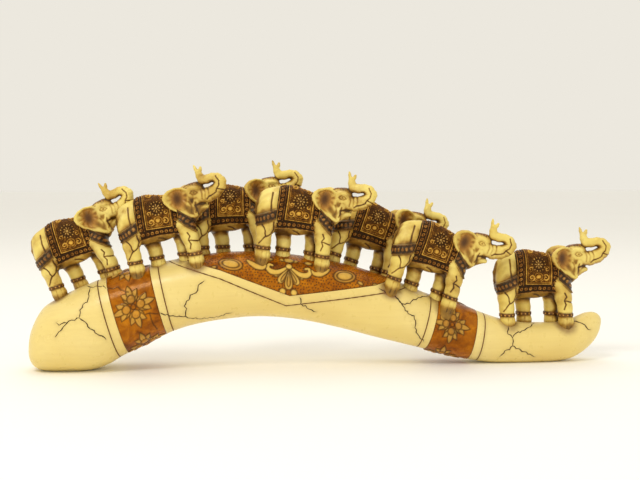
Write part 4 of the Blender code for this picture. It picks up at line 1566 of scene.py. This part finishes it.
def skin_coat():
    """Ivory castings with a brown wash in every hollow, painted shade under and between the forms, and
    painted straps and anklets.
    """
    coat = Coat("aged_ivory_resin")
    tones = coat.ramp(coat.noise(48.0, 4.0, 0.55), SKIN_TONES)
    grime_and_shade = coat.span(coat.noise(62.0, 4.0, 0.6), 0.0, 0.42, 0.46, 0.74)
    # random grime plus the layer of wash and painted shade
    grime_and_shade = coat.math("ADD", coat.layer("wash_and_shade"), grime_and_shade)
    share = coat.math("MULTIPLY", grime_and_shade, coat.varied(170.0, 0.7, 1.25, 4.0, 0.6))
    thin = coat.math("MINIMUM", coat.math("MULTIPLY", share, 2.2), 1.0)
    amber = coat.blend(thin, tones, WASH_AND_SHADE_AMBER)
    washed_and_shaded = coat.blend(coat.span(share, 0.0, 1.0, 0.25, 0.90), amber, WASH_AND_SHADE_BROWN)
    shaded = coat.blend(coat.span(coat.layer("hollow"), 0.0, 1.0, 0.02, 0.6), washed_and_shaded, HOLLOW_AMBER)
    ears = coat.blend(coat.span(coat.layer("hollow"), 0.0, 1.0, 0.45, 1.0), shaded, HOLLOW_BROWN)
    speckle = coat.math("ADD", coat.layer("bead"), coat.varied(620.0, -0.25, 0.25, 3.0))
    coat.dress({"Base Color": coat.blend(coat.layer("cloth"), ears, coat.ramp(speckle, CLOTH_TONES)),
                "Specular Tint": (1.0, 0.86, 0.55),
                "Roughness": coat.varied(230.0, 0.28, 0.48)})
    coat.bump(coat.noise(300.0, 6.0, 0.65), 0.3, 0.0004)
    return coat.material


def cloth_coat():
    """Carved cloth, dark brown in its depths and rubbed golden on its ridges."""
    coat = Coat("cloth_paint")
    height = coat.math("ADD", coat.layer("height"), coat.varied(330.0, -0.40, 0.26, 4.0, 0.65))
    zones = coat.math("MULTIPLY", coat.layer("amber"), coat.varied(120.0, 0.6, 1.2))
    tinted = coat.blend(zones, coat.ramp(height, CLOTH_TONES), coat.ramp(height, CLOTH_GOLD))
    coat.dress({"Base Color": coat.blend(coat.layer("dark"), tinted, coat.ramp(height, CLOTH_BLACK)),
                "Roughness": coat.varied(260.0, 0.42, 0.60),
                "Specular IOR Level": 0.35,
                "Specular Tint": (1.0, 0.65, 0.3)})
    coat.bump(coat.noise(800.0, 4.0, 0.6), 0.25, 0.0003)
    return coat.material


def steel_coat():
    """Drawn steel for the hidden pins."""
    coat = Coat("steel_pin_wire")
    drawn = coat.noise(1.0, 3.0, vector=coat.stretched((900.0, 900.0, 90.0)))
    coat.dress({"Base Color": coat.ramp(drawn, STEEL_TONES), "Metallic": 1.0,
                "Roughness": coat.span(coat.noise(500.0), 0.25, 0.45)})
    coat.bump(coat.noise(1500.0), 0.2, 0.0001)
    return coat.material


def floor_coat():
    coat = Coat("studio_paper")
    coat.dress({"Base Color": coat.ramp(coat.noise(3.0, 2.0), PAPER_TONES), "Roughness": 0.8})
    return coat.material


# ---- The studio ----

CAMERA_SPOT = (-0.0758, -0.6963, 0.1250)
CAMERA_AZIMUTH = -5.9
CAMERA_PITCH = 3.4
CAMERA_LENS = 59.4
FLOOR_HALF = 9.0
LAMPS = (  # name, place, aim, size, power, colour
    ("key", (-0.55, -0.75, 1.15), (0.0, 0.0, 0.05), 0.45, 5.6, (1.0, 0.98, 0.93)),
    ("fill", (0.9, -0.9, 0.6), (0.0, 0.0, 0.05), 0.8, 0.4, (1.0, 0.98, 0.95)),
    ("top", (0.0, 0.35, 1.3), (0.0, 0.0, 0.0), 0.9, 2.6, (1.0, 0.99, 0.95)),
)
WORLD_COLOUR = (1.0, 0.96, 0.87, 1.0)
WORLD_STRENGTH = 0.84


def studio_floor():
    """A pale paper floor, wide enough to reach the horizon on every side."""
    half = FLOOR_HALF
    points = [(-half, -half, 0.0), (half, -half, 0.0), (half, half, 0.0), (-half, half, 0.0)]
    make_piece("studio_floor", points, [[0, 1, 2, 3]], floor_coat())


def area_light(name, spot, aim, size, power, colour):
    """A round soft lamp aimed at a point."""
    data = bpy.data.lights.new(name, "AREA")
    data.shape = "DISK"
    data.size = size
    data.energy = power
    data.color = colour
    lamp = bpy.data.objects.new(name, data)
    lamp.location = spot
    lamp.rotation_euler = (Vector(aim) - Vector(spot)).to_track_quat("-Z", "Y").to_euler()
    bpy.context.scene.collection.objects.link(lamp)


def studio():
    """Floor, lamps, bright surroundings and the photo's camera."""
    studio_floor()
    for lamp in LAMPS:
        area_light(*lamp)
    world = bpy.data.worlds.new("studio")
    world.use_nodes = True
    background = world.node_tree.nodes["Background"]
    background.inputs["Color"].default_value = WORLD_COLOUR
    background.inputs["Strength"].default_value = WORLD_STRENGTH
    bpy.context.scene.world = world
    bpy.context.scene.view_settings.view_transform = "Standard"
    data = bpy.data.cameras.new("camera")
    data.lens = CAMERA_LENS
    data.sensor_width = 36.0
    camera = bpy.data.objects.new("camera", data)
    camera.location = CAMERA_SPOT
    camera.rotation_euler = (radians(90.0 - CAMERA_PITCH), 0.0, radians(CAMERA_AZIMUTH))
    bpy.context.scene.collection.objects.link(camera)
    bpy.context.scene.camera = camera


# ---- Putting it together ----


def make_elephants():
    """All the castings and their cloths; returns the feet's places on the tusk in millimetres."""
    skin, cloth = skin_coat(), cloth_coat()
    body, cracks = sculpt_body()
    head, head_cracks = sculpt_head()
    cloth_points, cloth_faces, cloth_layers = make_cloth_form()
    feet = []
    for name, (pinned, roll, turn) in ELEPHANTS.items():
        place = stance(name, pinned, roll)
        casting = cast_elephant(name + "_skin", body, head, cracks, head_cracks, turn, place, skin)
        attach(casting, "root")
        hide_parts(name)
        saddle = make_piece(name + "_cloth", placed_points(cloth_points, place), cloth_faces, cloth,
                            cloth_layers)
        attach(saddle, "root")
        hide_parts(name)
        for front_x, rear_x, side in FEET.values():
            for x in (front_x, rear_x):
                feet.append(place @ Vector((x, side * LEG_Y, 0.0)) / MM)
    return np.array(feet)


def make_tusk(feet):
    """The tusk with its grooves, its two bands and its panel."""
    tusk = Tusk(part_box("tusk")[0].x / MM - TUSK_SECTIONS[0][0][0])
    body = tusk_skin(tusk, ivory_coat())
    line_paint = groove_coat("line_paint", LINE_PAINT)
    crack_paint = groove_coat("crack_paint", CRACK_PAINT)
    cutters, marks = tusk_grooves(tusk, line_paint, crack_paint)
    engrave(turn_outward(body), cutters)
    stain_and_shade_tusk(body, marks, feet)
    glaze = glaze_coat()
    pieces = [
        body,
        flower_band("root_band", tusk, ROOT_BAND, *ROOT_FLOWERS, ROOT_GLAZE_CRACKS, glaze),
        flower_band("tip_band", tusk, TIP_BAND, *TIP_FLOWERS, (), glaze),
        saddle_panel(tusk, glaze),
    ]
    for piece in pieces:
        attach(piece, "root")
        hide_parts("tusk")
    for piece in pieces[1:]:
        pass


def dress_pins():
    """The steel pins keep their CAD shape and get a finish."""
    steel = steel_coat()
    for name, node in frame["nodes"].items():
        if "_pin_" in name:
            node.data.materials.clear()
            node.data.materials.append(steel)


feet = make_elephants()
make_tusk(feet)
dress_pins()
studio()
